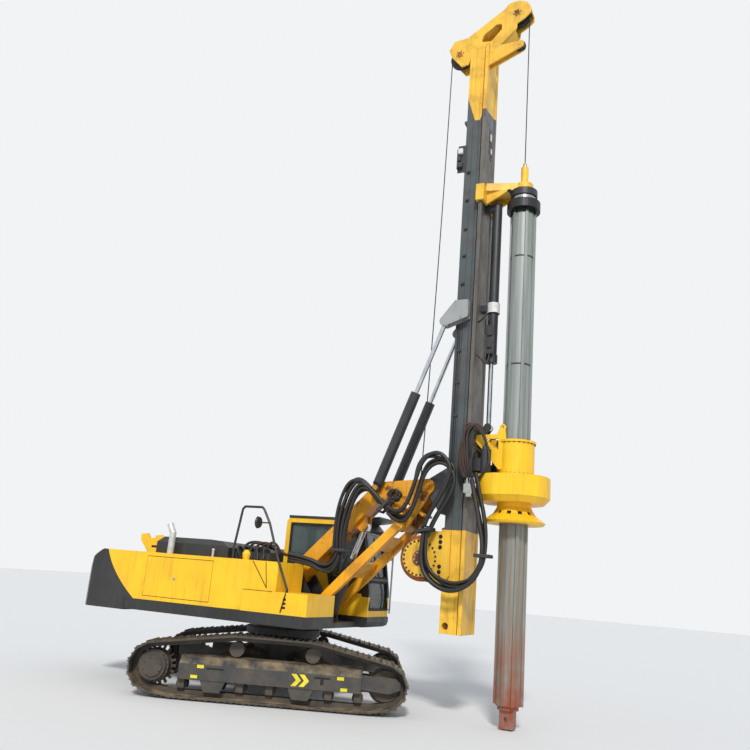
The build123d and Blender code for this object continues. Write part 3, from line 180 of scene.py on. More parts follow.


# Painted steel, sprayed in the works: colour, faded colour, dust colour, roughness, height that the dust
# reaches, amounts of dust, chipped paint, oil stains and painted shade, streaks and mud on the front

paints = {
    "yellowPaint": dict(colour="#f6c61c", faded="#edb51c", dust="#b98a55", rough=0.38, top=3.2, dusty=0.3,
                        chips=0.35),
    "mastYellowPaint": dict(colour="#f2c238", faded="#e2ae34", dust="#b98a55", rough=0.42, top=3.0,
                            dusty=0.25, chips=0.4, oilAndPaintedShade=0.2),
    "charcoalPaint": dict(colour="#202224", faded="#2c2e30", dust="#7d6a55", rough=0.42, top=2.6, dusty=0.35,
                          chips=0.3),
    "mastGreyPaint": dict(colour="#3a4349", faded="#4c5456", dust="#8f8876", rough=0.5, top=4.0, dusty=0.35,
                          chips=0.9, oilAndPaintedShade=0.25, streaky=0.75, front=0.6),
    "paleGreyPaint": dict(colour="#9a9c9c", faded="#83868a", dust="#8f8876", rough=0.5, top=3.0, dusty=0.3,
                          chips=0.5),
    "darkHydraulicPaint": dict(colour="#292b2f", faded="#35383c", dust="#6a5a4a", rough=0.38, top=3.0,
                               dusty=0.2, chips=0.3),
    # The boom's heavy dark brown patches are oil stains and also painted shade from the hoses over it
    "boomOrangePaint": dict(colour="#eaa51c", faded="#d28a1a", dust="#a5754a", rough=0.42, top=3.6,
                            dusty=0.35, chips=0.6, oilAndPaintedShade=0.9),
    "strutPaint": dict(colour="#efac1c", faded="#dc931a", dust="#a5754a", rough=0.42, top=3.6, dusty=0.35,
                       chips=0.6, oilAndPaintedShade=0.3),
    "crawlerPaint": dict(colour="#323334", faded="#3d3d3c", dust="#a8916f", rough=0.55, top=1.3, dusty=1.2,
                         chips=0.4, streaky=0.15),
    "trackSteel": dict(colour="#35322f", faded="#4a443c", dust="#a38c6a", rough=0.6, top=1.2, dusty=1.2,
                       chips=0.5),
    "castIron": dict(colour="#26272a", faded="#37383a", dust="#806a55", rough=0.55, top=3.0, dusty=0.3,
                     chips=0.4),
    # The winch drum's orange trim, darkened throughout and heavily patched as painted shade
    "orangeTrimWithPaintedShade": dict(colour="#b8621a", faded="#8a4b1a", dust="#a5754a", rough=0.45, top=3.0, dusty=0.3,
                            chips=0.6, oilAndPaintedShade=0.9),
}
# What the work and the weather leave on the paint; the oil's dark brown also serves as painted shade
wear = dict(streaks="#5a4530", mud="#7c7060", oilAndPaintedShade="#3a1d10", chips="#4b3a2e", edges="#6a5a48")


# Sprayed enamel: faded patches, run-off streaks, chips, worn edges, oil and painted shade, and dust over an
# even gloss
def paintedMetal(name, colour, faded, dust, rough, top, dusty, chips, oilAndPaintedShade=0.0, streaky=0.28, front=0.0,
                 second=None, rule=None):
    material, tree, shader, coords = startMaterial(name)
    patches = patchMask(tree, coords, "fade")
    body = coat(tree, linear(colour), linear(faded), patches)
    if second:
        other = coat(tree, linear(paints[second]["colour"]), linear(paints[second]["faded"]), patches)
        body = coat(tree, other, body, followRule(tree, coords, rule))
    stretch = {"Vector": coords, "Scale": (22.0, 22.0, 1.4)}
    streaks = addNode(tree, "ShaderNodeMapping", inputs=stretch).outputs[0]
    body = coat(tree, body, linear(wear["streaks"]), patchMask(tree, streaks, "streaks"), streaky)
    # Dried mud on the mast's face
    if front:
        mud = patchMask(tree, streaks, "mud", (0.0, front))
        body = coat(tree, body, linear(wear["mud"]), followRule(tree, coords, "mastFront"), mud)
    # Dark brown patches: oil stains, and painted shade where the amount is high, on the boom and the trim
    if oilAndPaintedShade:
        body = coat(tree, body, linear(wear["oilAndPaintedShade"]), patchMask(tree, coords, "oilAndPaintedShade"), oilAndPaintedShade)
    body = coat(tree, body, linear(wear["chips"]), patchMask(tree, coords, "chips"), chips)
    body = coat(tree, body, linear(wear["edges"]), edgeMask(tree, coords), chips)
    body = coat(tree, body, linear(dust), dustMask(tree, coords, top), dusty)
    tree.links.new(body, shader.inputs["Base Color"])
    gloss = patchMask(tree, coords, "gloss", (rough - 0.08, rough + 0.16))
    tree.links.new(gloss, shader.inputs["Roughness"])
    grain(tree, shader, coords, scale=90.0, strength=0.12, roundness=0.006)
    return material


# The kelly's colours, then the heights between which rust and clay thin out, with the amounts there
kellyLook = dict(tube="#757c7a", bright="#9ea5a2", ring="#232527",
                 rust=("#85694d", 1.4, 4.2, 0.85, 0.1), clay=("#94492f", 0.3, 1.5, 0.95, 0.0))


# Drawn steel tube, polished by the drive, streaked with mud, rusty at its foot, and black at its top ring
def kellySteel(name, look):
    material, tree, shader, coords = startMaterial(name)
    height = addNode(tree, "ShaderNodeSeparateXYZ", inputs={0: coords}).outputs[2]
    stretch = {"Vector": coords, "Scale": (18.0, 18.0, 0.5)}
    drawn = addNode(tree, "ShaderNodeMapping", inputs=stretch).outputs[0]
    body = coat(tree, linear(look["tube"]), linear(look["bright"]), patchMask(tree, drawn, "drawnSteel"))
    for layer, place in (("rust", drawn), ("clay", coords)):
        colour, low, high, most, least = look[layer]
        thinned = addNode(tree, "ShaderNodeMapRange", inputs={
            "Value": height, "From Min": low, "From Max": high, "To Min": most, "To Max": least})
        body = coat(tree, body, linear(colour), thinned.outputs[0], patchMask(tree, place, layer))
    body = coat(tree, body, linear(look["ring"]), followRule(tree, coords, "kellyRing"))
    tree.links.new(body, shader.inputs["Base Color"])
    shader.inputs["Metallic"].default_value = 0.3
    gloss = patchMask(tree, drawn, "kellyGloss", (0.34, 0.58))
    tree.links.new(gloss, shader.inputs["Roughness"])
    grain(tree, shader, drawn, scale=6.0, strength=0.15, roundness=0.004)
    return material


# A surface with slight shade changes and, where it has one, a fine grain
def plainMaterial(name, colour, rough, metallic=0.0, bumpy=0.0, bumpScale=200.0, alpha=1.0, transmission=0.0):
    material, tree, shader, coords = startMaterial(name)
    base = linear(colour)
    darkest = 0.72
    darker = tuple(c * darkest for c in base[:3]) + (1.0,)
    body = coat(tree, base, darker, patchMask(tree, coords, "shade"))
    tree.links.new(body, shader.inputs["Base Color"])
    shader.inputs["Roughness"].default_value = rough
    shader.inputs["Metallic"].default_value = metallic
    shader.inputs["Alpha"].default_value = alpha
    shader.inputs["Transmission Weight"].default_value = transmission
    if bumpy:
        grain(tree, shader, coords, bumpScale, bumpy)
    return material


materials = {name: paintedMetal(name, **settings) for name, settings in paints.items()}
# Two paints on one part: the first where the rule gives 1, the second elsewhere
for name, first, second, rule in (("tailTwoTonePaint", "yellowPaint", "charcoalPaint", "tail"),
                                  ("mastTopPaint", "mastYellowPaint", "mastGreyPaint", "mastTop"),
                                  ("cabPaint", "yellowPaint", "charcoalPaint", "cab"),
                                  ("guidePaint", "mastYellowPaint", "charcoalPaint", "damper"),
                                  ("mastMainPaint", "mastGreyPaint", "paleGreyPaint", "bracket")):
    materials[name] = paintedMetal(name, **paints[first], second=second, rule=rule)
materials["kellySteel"] = kellySteel("kellySteel", kellyLook)
plains = {
    "chromePlate": dict(colour="#d4d8dc", rough=0.16, metallic=1.0),  # ground and plated, a clear mirror
    "turnedSteel": dict(colour="#a9acae", rough=0.32, metallic=0.9, bumpy=0.2),  # fine lathe marks
    "zincPlate": dict(colour="#b9bcb6", rough=0.4, metallic=0.8, bumpy=0.2),  # dull silver of plated fittings
    "galvanisedSteel": dict(colour="#cfd1cd", rough=0.45, metallic=0.3, bumpy=0.3),  # hot-dipped and pale
    "hoseRubber": dict(colour="#242220", rough=0.45, bumpy=0.35, bumpScale=350.0),  # wrapped, soft gloss
    "mudHose": dict(colour="#3f2f28", rough=0.75, bumpy=0.5, bumpScale=150.0),  # the same under dry mud
    # Matt black: pressed seals, and also thin dark sheets of painted shade in slots and hollows
    "blackRubber": dict(colour="#151617", rough=0.7, bumpy=0.3),  # pressed seals, matt
    "mouldedPlastic": dict(colour="#26282a", rough=0.6, bumpy=0.4, bumpScale=500.0),  # leather grain
    "seatWeave": dict(colour="#2a2c30", rough=0.9, bumpy=0.8, bumpScale=600.0),  # woven cloth, no gloss
    "wireRope": dict(colour="#3a3c3e", rough=0.5, metallic=0.7, bumpy=0.6, bumpScale=120.0),  # greased wires
    "reflectorYellow": dict(colour="#f0de35", rough=0.35),  # glass-bead foil, bright and even
    "whiteEnamel": dict(colour="#e6e6e2", rough=0.4),  # clean sprayed white
    "mirrorGlass": dict(colour="#cfd6da", rough=0.04, metallic=1.0),  # silvered glass
    "tintedGlass": dict(colour="#47605f", rough=0.03, alpha=0.62, transmission=0.5),  # green float glass
}
for name, settings in plains.items():
    materials[name] = plainMaterial(name, **settings)
print("materials made", len(materials))

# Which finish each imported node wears

finishes = {
    "crawlerPaint": ("car_body", "track_frame_right", "track_frame_left"),
    "trackSteel": ("track_right", "track_left", "sprocket_right", "sprocket_left", "rollers_right",
                   "rollers_left"),
    "charcoalPaint": ("deck", "rear_cover", "engine_hood", "handrail", "cab_visor", "carriage"),
    "tailTwoTonePaint": ("counterweight", "housing_right", "housing_left"),
    "yellowPaint": ("tank_box", "side_door_right", "side_door_left", "mast_rest", "rotary_housing",
                    "drive_sleeve"),
    "cabPaint": ("cab_shell", "cab_door"),
    "castIron": ("engine_block", "rear_sheave", "front_sheave", "aux_sheave", "valve_bank"),
    "galvanisedSteel": ("exhaust",),
    "boomOrangePaint": ("boom", "end_frame"),
    "strutPaint": ("struts",),
    "darkHydraulicPaint": ("luff_barrel", "mast_barrel_right", "mast_barrel_left", "crowd_barrel"),
    "chromePlate": ("luff_rod", "mast_rod_right", "mast_rod_left", "crowd_rod"),
    "mastYellowPaint": ("mast_lower", "mast_head", "aux_arm", "kelly_swivel"),
    "guidePaint": ("kelly_guide",),
    "mastMainPaint": ("mast_main",),
    "mastTopPaint": ("mast_upper",),
    "orangeTrimWithPaintedShade": ("winch_drum",),
    "kellySteel": ("kelly_outer", "kelly_inner"),
    "seatWeave": ("seat",),
    "mouldedPlastic": ("console",),
    "turnedSteel": ("luff_pin",),
    "tintedGlass": ("cab_glass", "door_glass"),
}
for finish, names in finishes.items():
    for name in names:
        mesh = nodes[name].data
        mesh.materials.clear()
        mesh.materials.append(materials[finish])


# Mesh helpers

# A new mesh as a piece at the origin, in its finish and on its body
def addPiece(name, mesh, finish, body=None, smooth=False, blend=None):
    mesh.name = name
    mesh.materials.clear()
    mesh.materials.append(materials[finish])
    for face in mesh.polygons:
        face.use_smooth = smooth
    piece = bpy.data.objects.new(name, mesh)
    bpy.context.scene.collection.objects.link(piece)
    pieces.append(piece)
    if blend:
        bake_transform(piece)
    elif body:
        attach(piece, body)
    return piece


def finishMesh(name, bm, finish, body, smooth=False):
    bmesh.ops.recalc_face_normals(bm, faces=bm.faces)
    mesh = bpy.data.meshes.new(name)
    bm.to_mesh(mesh)
    bm.free()
    return addPiece(name, mesh, finish, body, smooth)


# What modifiers or a curve make of an object, as one plain mesh
def bakedMesh(holder):
    bpy.context.scene.collection.objects.link(holder)
    bpy.context.view_layer.update()
    mesh = bpy.data.meshes.new_from_object(holder.evaluated_get(bpy.context.evaluated_depsgraph_get()))
    bpy.data.objects.remove(holder)
    return mesh


# A round or tapered bar between two points
def addBar(bm, start, end, radius, topRadius=None, sides=20):
    start, end = Vector(start), Vector(end)
    axis = end - start
    place = Matrix.Translation((start + end) / 2) @ axis.to_track_quat("Z", "Y").to_matrix().to_4x4()
    bmesh.ops.create_cone(bm, cap_ends=True, segments=sides, radius1=radius,
                          radius2=radius if topRadius is None else topRadius, depth=axis.length, matrix=place)


# A block between two corners, with its edges rounded
def addBlock(bm, low, high, bevel=0.0):
    size = Vector(high) - Vector(low)
    place = Matrix.Translation((Vector(high) + Vector(low)) / 2) @ Matrix.Diagonal(size.to_4d())
    made = bmesh.ops.create_cube(bm, size=1.0, matrix=place)
    if bevel:
        edges = list(dict.fromkeys(edge for vert in made["verts"] for edge in vert.link_edges))
        bmesh.ops.bevel(bm, geom=edges, offset=bevel, segments=2, affect="EDGES", profile=0.5)


# Closed outlines, one behind the other, joined into a solid
def addSkin(bm, loops, closed=False):
    rows = [[bm.verts.new(place) for place in loop] for loop in loops]
    pairs = list(zip(rows, rows[1:])) + ([(rows[-1], rows[0])] if closed else [])
    for row, following in pairs:
        for i in range(len(row)):
            j = (i + 1) % len(row)
            bm.faces.new((row[i], row[j], following[j], following[i]))
    if not closed:
        bm.faces.new(rows[0])
        bm.faces.new(rows[-1][::-1])


# A band along a closed outline in x and z, from inside its line to outside it
def addBand(bm, outline, inside, outside, low, high):
    loops = []
    for shift in (inside, -outside):
        moved = []
        for i, corner in enumerate(outline):
            here = Vector(corner)
            first = (here - Vector(outline[i - 1])).normalized()
            second = (Vector(outline[(i + 1) % len(outline)]) - here).normalized()
            lean = Vector((-first.y - second.y, first.x + second.x))
            moved.append(here + lean * shift / (1 + first.dot(second)))
        loops.append(moved)
    inner, outer = loops
    rounds = ((inner, low), (outer, low), (outer, high), (inner, high))
    addSkin(bm, [[(p.x, y, p.y) for p in loop] for loop, y in rounds], closed=True)


# Tubes that follow smooth lines through given points
def tubeAlong(name, routes, radius, finish, body=None, blend=None):
    curve = bpy.data.curves.new(name, "CURVE")
    curve.dimensions = "3D"
    curve.bevel_depth = radius
    curve.bevel_resolution = 3
    curve.use_fill_caps = True
    curve.resolution_u = 8
    for route in routes:
        spline = curve.splines.new("NURBS")
        spline.points.add(len(route) - 1)
        for point, place in zip(spline.points, route):
            point.co = (*place, 1.0)
        spline.order_u = 3 if len(route) > 2 else 2
        spline.use_endpoint_u = True
    mesh = bakedMesh(bpy.data.objects.new(name + "Line", curve))
    return addPiece(name, mesh, finish, body, True, blend)


# Geometry Nodes: a hexagon bolt with its washer on every point, turned to the point's axis
def boltTree():
    tree = bpy.data.node_groups.new("boltHeads", "GeometryNodeTree")
    for socket, kind in (("Geometry", "Geometry"), ("Size", "Float"), ("Material", "Material")):
        tree.interface.new_socket(socket, in_out="INPUT", socket_type="NodeSocket" + kind)
    tree.interface.new_socket("Geometry", in_out="OUTPUT", socket_type="NodeSocketGeometry")
    entry = addNode(tree, "NodeGroupInput")
    axis = addNode(tree, "GeometryNodeInputNamedAttribute", {"data_type": "FLOAT_VECTOR"},
                   {"Name": "boltAxis"})
    turn = addNode(tree, "FunctionNodeAlignRotationToVector", {"axis": "Z"}, {"Vector": axis.outputs[0]})
    head = addNode(tree, "GeometryNodeMeshCone", inputs={"Vertices": 6, "Radius Top": 0.94,
                                                         "Radius Bottom": 1.0, "Depth": 1.1})
    washer = addNode(tree, "GeometryNodeMeshCone", inputs={"Vertices": 12, "Radius Top": 1.45,
                                                           "Radius Bottom": 1.5, "Depth": 0.3})
    both = addNode(tree, "GeometryNodeJoinGeometry")
    tree.links.new(head.outputs["Mesh"], both.inputs[0])
    tree.links.new(washer.outputs["Mesh"], both.inputs[0])
    spread = addNode(tree, "GeometryNodeInstanceOnPoints", inputs={
        "Points": entry.outputs["Geometry"], "Instance": both.outputs[0], "Rotation": turn.outputs[0],
        "Scale": entry.outputs["Size"]})
    solid = addNode(tree, "GeometryNodeRealizeInstances", inputs={"Geometry": spread.outputs[0]})
    dressed = addNode(tree, "GeometryNodeSetMaterial", inputs={"Geometry": solid.outputs[0],
                                                               "Material": entry.outputs["Material"]})
    addNode(tree, "NodeGroupOutput", inputs={0: dressed.outputs[0]})
    return tree


bolts = boltTree()


# One mesh of bolt heads at (point, axis) places
def placeBolts(name, body, finish, size, places):
    mesh = bpy.data.meshes.new(name + "Points")
    mesh.from_pydata([tuple(point) for point, axis in places], [], [])
    attribute = mesh.attributes.new("boltAxis", "FLOAT_VECTOR", "POINT")
    for item, (point, axis) in zip(attribute.data, places):
        item.vector = axis
    holder = bpy.data.objects.new(name + "Holder", mesh)
    modifier = holder.modifiers.new("bolts", "NODES")
    modifier.node_group = bolts
    values = {"Size": size, "Material": materials[finish]}
    for socket in bolts.interface.items_tree:
        if socket.in_out == "INPUT" and socket.name in values:
            modifier[socket.identifier] = values[socket.name]
    addPiece(name, bakedMesh(holder), finish, body)


# Places spaced round a circle, each with the circle's axis
def ring(centre, axis, radius, count):
    centre, axis = Vector(centre), Vector(axis).normalized()
    side = axis.orthogonal().normalized()
    other = axis.cross(side)
    angles = [2 * math.pi * (k + 0.5) / count for k in range(count)]
    return [(centre + radius * (math.cos(a) * side + math.sin(a) * other), axis) for a in angles]


crawlerTurn = Matrix.Rotation(math.radians(24.5), 3, "Z")


# A place on the crawler, from the crawler's own axes
def turned(point):
    return crawlerTurn @ Vector(point)


def rectangle(x, z, wide, tall):
    return [(x - wide / 2, z - tall / 2), (x + wide / 2, z - tall / 2), (x + wide / 2, z + tall / 2),
            (x - wide / 2, z + tall / 2)]


def chevron(x, z, wide=0.075, tall=0.17):
    return [(x, z - tall / 2), (x + wide, z - tall / 2), (x + 2 * wide, z), (x + wide, z + tall / 2),
            (x, z + tall / 2), (x + wide, z)]


# Crawler: reflectors, painted shade in the slots and the final drives' bolts

crawler = dict(
    face=1.4305, thick=0.0015,
    # the final drive's centre, and how far out each ring of its bolts lies, with radius and count
    driveCentre=(-1.74, 0.425), boltRings=((1.35, 0.214, 18), (1.4255, 0.13, 8)), boltSize=0.012,
    reflectors=[chevron(0.33, 0.40), chevron(0.45, 0.40)] + [rectangle(x, z, 0.1, 0.045) for x, z in (
        (-1.02, 0.475), (-1.10, 0.33), (1.06, 0.47), (1.12, 0.32))],
    # thin dark sheets of painted shade in the frame's slots
    slotShades=[rectangle(-0.80, 0.455, 0.26, 0.028), rectangle(0.79, 0.455, 0.24, 0.03),
           rectangle(0.79, 0.40, 0.05, 0.08)],
    plates=(("frameReflectors", "reflectors", "reflectorYellow"), ("frameSlots", "slotShades", "blackRubber")))

for hand, sideName in ((-1, "Right"), (1, "Left")):
    for name, key, finish in crawler["plates"]:
        bm = bmesh.new()
        for outline in crawler[key]:
            addSkin(bm, [[turned((x, hand * (crawler["face"] + depth), z)) for x, z in outline]
                         for depth in (0, crawler["thick"])])
        finishMesh(name + sideName, bm, finish, "undercarriage")
    places = []
    x, z = crawler["driveCentre"]
    for out, radius, count in crawler["boltRings"]:
        places += ring(turned((x, hand * out, z)), turned((0, hand, 0)), radius, count)
    placeBolts(f"finalDriveBolts{sideName}", "undercarriage", "trackSteel", crawler["boltSize"], places)
print("crawler dressed")

# Bars, turned caps and rods: name, body, finish, then start, end, radius and end radius of each

bothSides = (-1, 1)
sheaveCentres = ((2.58, 11.59), (3.65, 12.235))
bars = (
    ("kellySocket", "kelly_guide", "turnedSteel", [((3.85, 0, 9.046), (3.85, 0, 9.09), 0.036, 0.036),
                                                   ((3.85, 0, 9.09), (3.85, 0, 9.14), 0.036, 0.018)]),
    ("kellySilverRing", "kelly_outer", "turnedSteel", [((3.85, 0, 8.342), (3.85, 0, 8.434), 0.209, 0.207)]),
    ("kellyWelds", "kelly_outer", "charcoalPaint", [((3.85, 0, z), (3.85, 0, z + 0.022), 0.196, 0.196)
                                                    for z in (5.42, 7.3)]),
    ("crowdCollar", "mast", "whiteEnamel", [((3.39, 0, 6.37), (3.39, 0, 6.545), 0.107, 0.107)]),
    ("motorCaps", "rotary", "castIron", [
        ((3.46, y, z), (3.46, y, z + tall), radius, tip) for y in (-0.336, 0.336)
        for z, tall, radius, tip in ((4.0, 0.05, 0.064, 0.05), (4.05, 0.07, 0.026, 0.026))]),
    ("fillerKnob", "upper", "yellowPaint", [((-0.14, -1.17, 2.055), (-0.14, -1.17, 2.15), 0.05, 0.066),
                                            ((-0.14, -1.17, 2.15), (-0.14, -1.17, 2.21), 0.066, 0.03)]),
    ("ventPipe", "upper", "galvanisedSteel", [((-0.80, -1.15, 2.055), (-0.80, -1.15, 2.17), 0.019, 0.019),
                                              ((-0.80, -1.15, 2.17), (-0.80, -1.15, 2.19), 0.028, 0.022)]),
    ("panelStraps", "upper", "blackRubber", [((0.05, -1.256, 2.05), (0.35, -1.256, 1.66), 0.005, 0.005),
                                             ((0.29, -1.256, 2.05), (0.35, -1.256, 1.66), 0.005, 0.005)]),
    ("frontStay", "upper", "galvanisedSteel", [((1.345, 1.30, 1.36), (1.345, 1.30, 2.34), 0.016, 0.016),
                                               ((1.27, 1.30, 1.42), (1.345, 1.30, 1.42), 0.012, 0.012),
                                               ((1.18, 1.30, 2.28), (1.345, 1.30, 2.28), 0.012, 0.012)]),
    ("mirrorFace", "upper", "mirrorGlass", [((0.0765, -1.29, 2.64), (0.0805, -1.29, 2.64), 0.088, 0.088)]),
    ("sheavePins", "mast", "orangeTrimWithPaintedShade", [((x, hand * 0.15, z), (x, hand * 0.172, z), 0.05, 0.044)
                                               for x, z in sheaveCentres for hand in bothSides]),
    ("winchHubs", "mast", "orangeTrimWithPaintedShade", [
        ((2.46, hand * 0.30, 2.30), (2.46, hand * 0.335, 2.30), 0.12, 0.105) for hand in bothSides]),
    ("leverKnobs", "upper", "blackRubber", [((0.489, y, 2.09), (0.492, y, 2.16), 0.022, 0.027)
                                            for y in (0.6275, 1.1925)]),
)
thickRadius, thickSides, thinSides = 0.03, 32, 14
for name, body, finish, parts in bars:
    bm = bmesh.new()
    for start, end, radius, tip in parts:
        addBar(bm, start, end, radius, tip, thickSides if radius > thickRadius else thinSides)
    finishMesh(name, bm, finish, body)

# Blocks with rounded edges: name, body, finish, bevel, then the two corners of each

markHeights = (4.55, 5.1, 5.64, 6.83, 7.35, 7.85, 8.4, 8.95)
blocks = (
    ("crowdValve", "mast", "castIron", 0.008, [((3.33, -0.165, 5.62), (3.45, -0.106, 6.12)),
                                               ((3.35, -0.195, 5.72), (3.43, -0.163, 5.84)),
                                               ((3.35, -0.195, 5.93), (3.43, -0.163, 6.05))]),
    ("sideMarks", "mast", "castIron", 0.004, [
        ((2.885, low, z), (2.94, high, z + 0.035)) for low, high in ((-0.295, -0.259), (0.259, 0.295))
        for z in markHeights]),
    ("rearBracket", "mast", "castIron", 0.004, [((2.70, -0.272, 8.98), (2.86, -0.259, 9.52)),
                                                ((2.69, -0.30, 9.05), (2.72, -0.259, 9.45))]),
    ("junctionBoxes", "mast", "whiteEnamel", 0.008, [((2.715, -0.33, 9.34), (2.80, -0.271, 9.44))]),
    ("junctionValves", "mast", "castIron", 0.008, [((2.715, -0.34, 9.06), (2.80, -0.271, 9.16)),
                                                   ((2.70, -0.32, 9.20), (2.76, -0.271, 9.30))]),
    # thin dark sheets of painted shade in the mast rest's slots
    ("restSlotShade", "upper", "blackRubber", 0.002, [((-2.86, -0.2315, 2.16), (-2.72, -0.229, 2.20)),
                                                  ((-2.68, -0.2315, 2.16), (-2.62, -0.229, 2.20))]),
    ("frontBracket", "mast", "castIron", 0.002, [((3.1855, -0.02, 9.46), (3.192, 0.16, 9.95)),
                                                 ((3.1855, 0.06, 9.36), (3.192, 0.12, 9.46))]),
    ("frontBoxes", "mast", "whiteEnamel", 0.002, [((3.191, 0.03, 9.74), (3.198, 0.11, 9.88)),
                                                  ((3.191, 0.08, 9.50), (3.198, 0.14, 9.60))]),
    ("gripMarks", "upper", "blackRubber", 0.002, [((0.72, -1.354, z), (0.775, -1.3495, z + 0.032))
                                                  for z in (1.385, 1.445, 1.505)]),
    ("tankSeam", "upper", "blackRubber", 0.0, [((-0.015, -1.3515, 1.611), (0.515, -1.349, 1.619))]),
    ("doorLatch", "side_door_right", "zincPlate", 0.002, [
        ((-1.375, -1.356, 1.645), (-1.325, -1.349, 1.685))]),
    ("doorHandle", "cab_door", "blackRubber", 0.004, [((0.97, 1.3495, 1.82), (1.09, 1.372, 1.855))]),
    ("cabDisplay", "upper", "mouldedPlastic", 0.006, [((0.93, 0.56, 1.98), (0.97, 0.78, 2.14))]),
    ("pedals", "upper", "blackRubber", 0.006, [((1.02, y, 1.38), (1.06, y + 0.07, 1.54))
                                               for y in (0.76, 0.87, 0.98)]),
)
for name, body, finish, bevel, parts in blocks:
    bm = bmesh.new()
    for low, high in parts:
        addBlock(bm, low, high, bevel)
    finishMesh(name, bm, finish, body)

# Painted shade: thin dark sheets in the hollows between the ribs of the drive sleeve's flange

sleeveSlotShade = dict(centre=Vector((3.85, 0, 3.05)), count=12, depths=(0.2735, 0.281),
                   outline=rectangle(0, 0, 0.062, 0.06))
bm = bmesh.new()
for k in range(sleeveSlotShade["count"]):
    turn = Matrix.Rotation(2 * math.pi * k / sleeveSlotShade["count"], 3, "Z")
    addSkin(bm, [[sleeveSlotShade["centre"] + turn @ Vector((depth, y, z)) for y, z in sleeveSlotShade["outline"]]
                 for depth in sleeveSlotShade["depths"]])
finishMesh("sleeveSlotShade", bm, "blackRubber", "drive_sleeve")

# Rubber seals round the cab's windows

seals = (
    ("rightSeal", "upper", 0.464, 0.4715, ((-0.34, 2.79), (0.96, 2.79), (1.17, 1.68), (0.56, 1.68),
                                           (0.47, 2.01), (-0.34, 2.01))),
    ("leftSeal", "upper", 1.3485, 1.356, ((-0.33, 2.78), (0.04, 2.78), (0.04, 2.02), (-0.33, 2.02))),
    ("doorSeal", "cab_door", 1.3485, 1.356, ((0.235, 2.715), (0.90, 2.715), (1.02, 1.95), (0.235, 1.95))),
)
sealInside, sealOutside = 0.010, 0.022
for name, body, low, high, outline in seals:
    bm = bmesh.new()
    addBand(bm, outline, sealInside, sealOutside, low, high)
    finishMesh(name, bm, "blackRubber", body)

# Frames round the front panes and a wiper, which lean back with the cab's front

cabFront = dict(frames=(((1.247, 1.95), (1.111, 2.74)), ((1.285, 1.42), (1.262, 1.88))), sides=(0.53, 1.29),
                bar=0.022, wiper=(((1.262, 0.95, 1.96), (1.19, 0.75, 2.42), 0.007),
                                  ((1.255, 0.70, 2.20), (1.16, 0.80, 2.62), 0.009)))
near, far = cabFront["sides"]
bm = bmesh.new()
for (lowX, lowZ), (highX, highZ) in cabFront["frames"]:
    corners = [(lowX, near, lowZ), (lowX, far, lowZ), (highX, far, highZ), (highX, near, highZ)]
    for k in range(4):
        addBar(bm, corners[k], corners[(k + 1) % 4], cabFront["bar"], sides=8)
for start, end, radius in cabFront["wiper"]:
    addBar(bm, start, end, radius, sides=8)
finishMesh("frontFrame", bm, "blackRubber", "upper")
print("body fittings made")

# Seat: crowned cushions on a moulded base, in the room of the plain one

near, far = 0.68, 1.14
seatShape = dict(
    cuts=9, crown=0.16, bevel=0.012, inset=0.05,
    # two corners of each pad, and how far it leans back for each metre up
    pads=(((0.0, near, 1.62), (0.50, far, 1.745), 0), ((0.02, near, 1.60), (0.48, near + 0.09, 1.755), 0),
          ((0.02, far - 0.09, 1.60), (0.48, far, 1.755), 0),
          ((-0.02, near + 0.01, 1.75), (0.11, far - 0.01, 2.22), 0.1),
          ((-0.06, near + 0.09, 2.24), (0.05, far - 0.09, 2.43), 0.1)),
    # x, depth, z and height of each step of the base
    steps=((0.03, 0.38, 1.362, 0.05), (0.06, 0.30, 1.42, 0.045), (0.05, 0.34, 1.47, 0.04),
           (0.06, 0.30, 1.515, 0.04), (0.02, 0.42, 1.56, 0.055)))


# A pad whose faces bulge and whose sides pull in between its corners. Tags mark the corners of earlier pads
def addCushion(bm, low, high, lean):
    low, high = Vector(low), Vector(high)
    made = bmesh.ops.create_cube(bm, size=2.0)
    edges = list(dict.fromkeys(edge for vert in made["verts"] for edge in vert.link_edges))
    bmesh.ops.subdivide_edges(bm, edges=edges, cuts=seatShape["cuts"], use_grid_fill=True)
    for vert in [vert for vert in bm.verts if not vert.tag]:
        unit = vert.co.copy()
        pulls = [1 - seatShape["crown"] * (unit[(k + 1) % 3] ** 4 + unit[(k + 2) % 3] ** 4) for k in range(3)]
        x, y, z = ((low[k] + high[k]) / 2 + unit[k] * pulls[k] * (high[k] - low[k]) / 2 for k in range(3))
        vert.co = (x - lean * (z - low.z), y, z)
        vert.tag = True


bm = bmesh.new()
for low, high, lean in seatShape["pads"]:
    addCushion(bm, low, high, lean)
cushions = finishMesh("seatCushions", bm, "seatWeave", "upper", True)
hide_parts("seat")
bm = bmesh.new()
left, right = far - seatShape["inset"], near + seatShape["inset"]
for x, depth, z, tall in seatShape["steps"]:
    addBlock(bm, (x, right, z), (x + depth, left, z + tall), seatShape["bevel"])
finishMesh("seatBase", bm, "mouldedPlastic", "upper")
print("seat made")
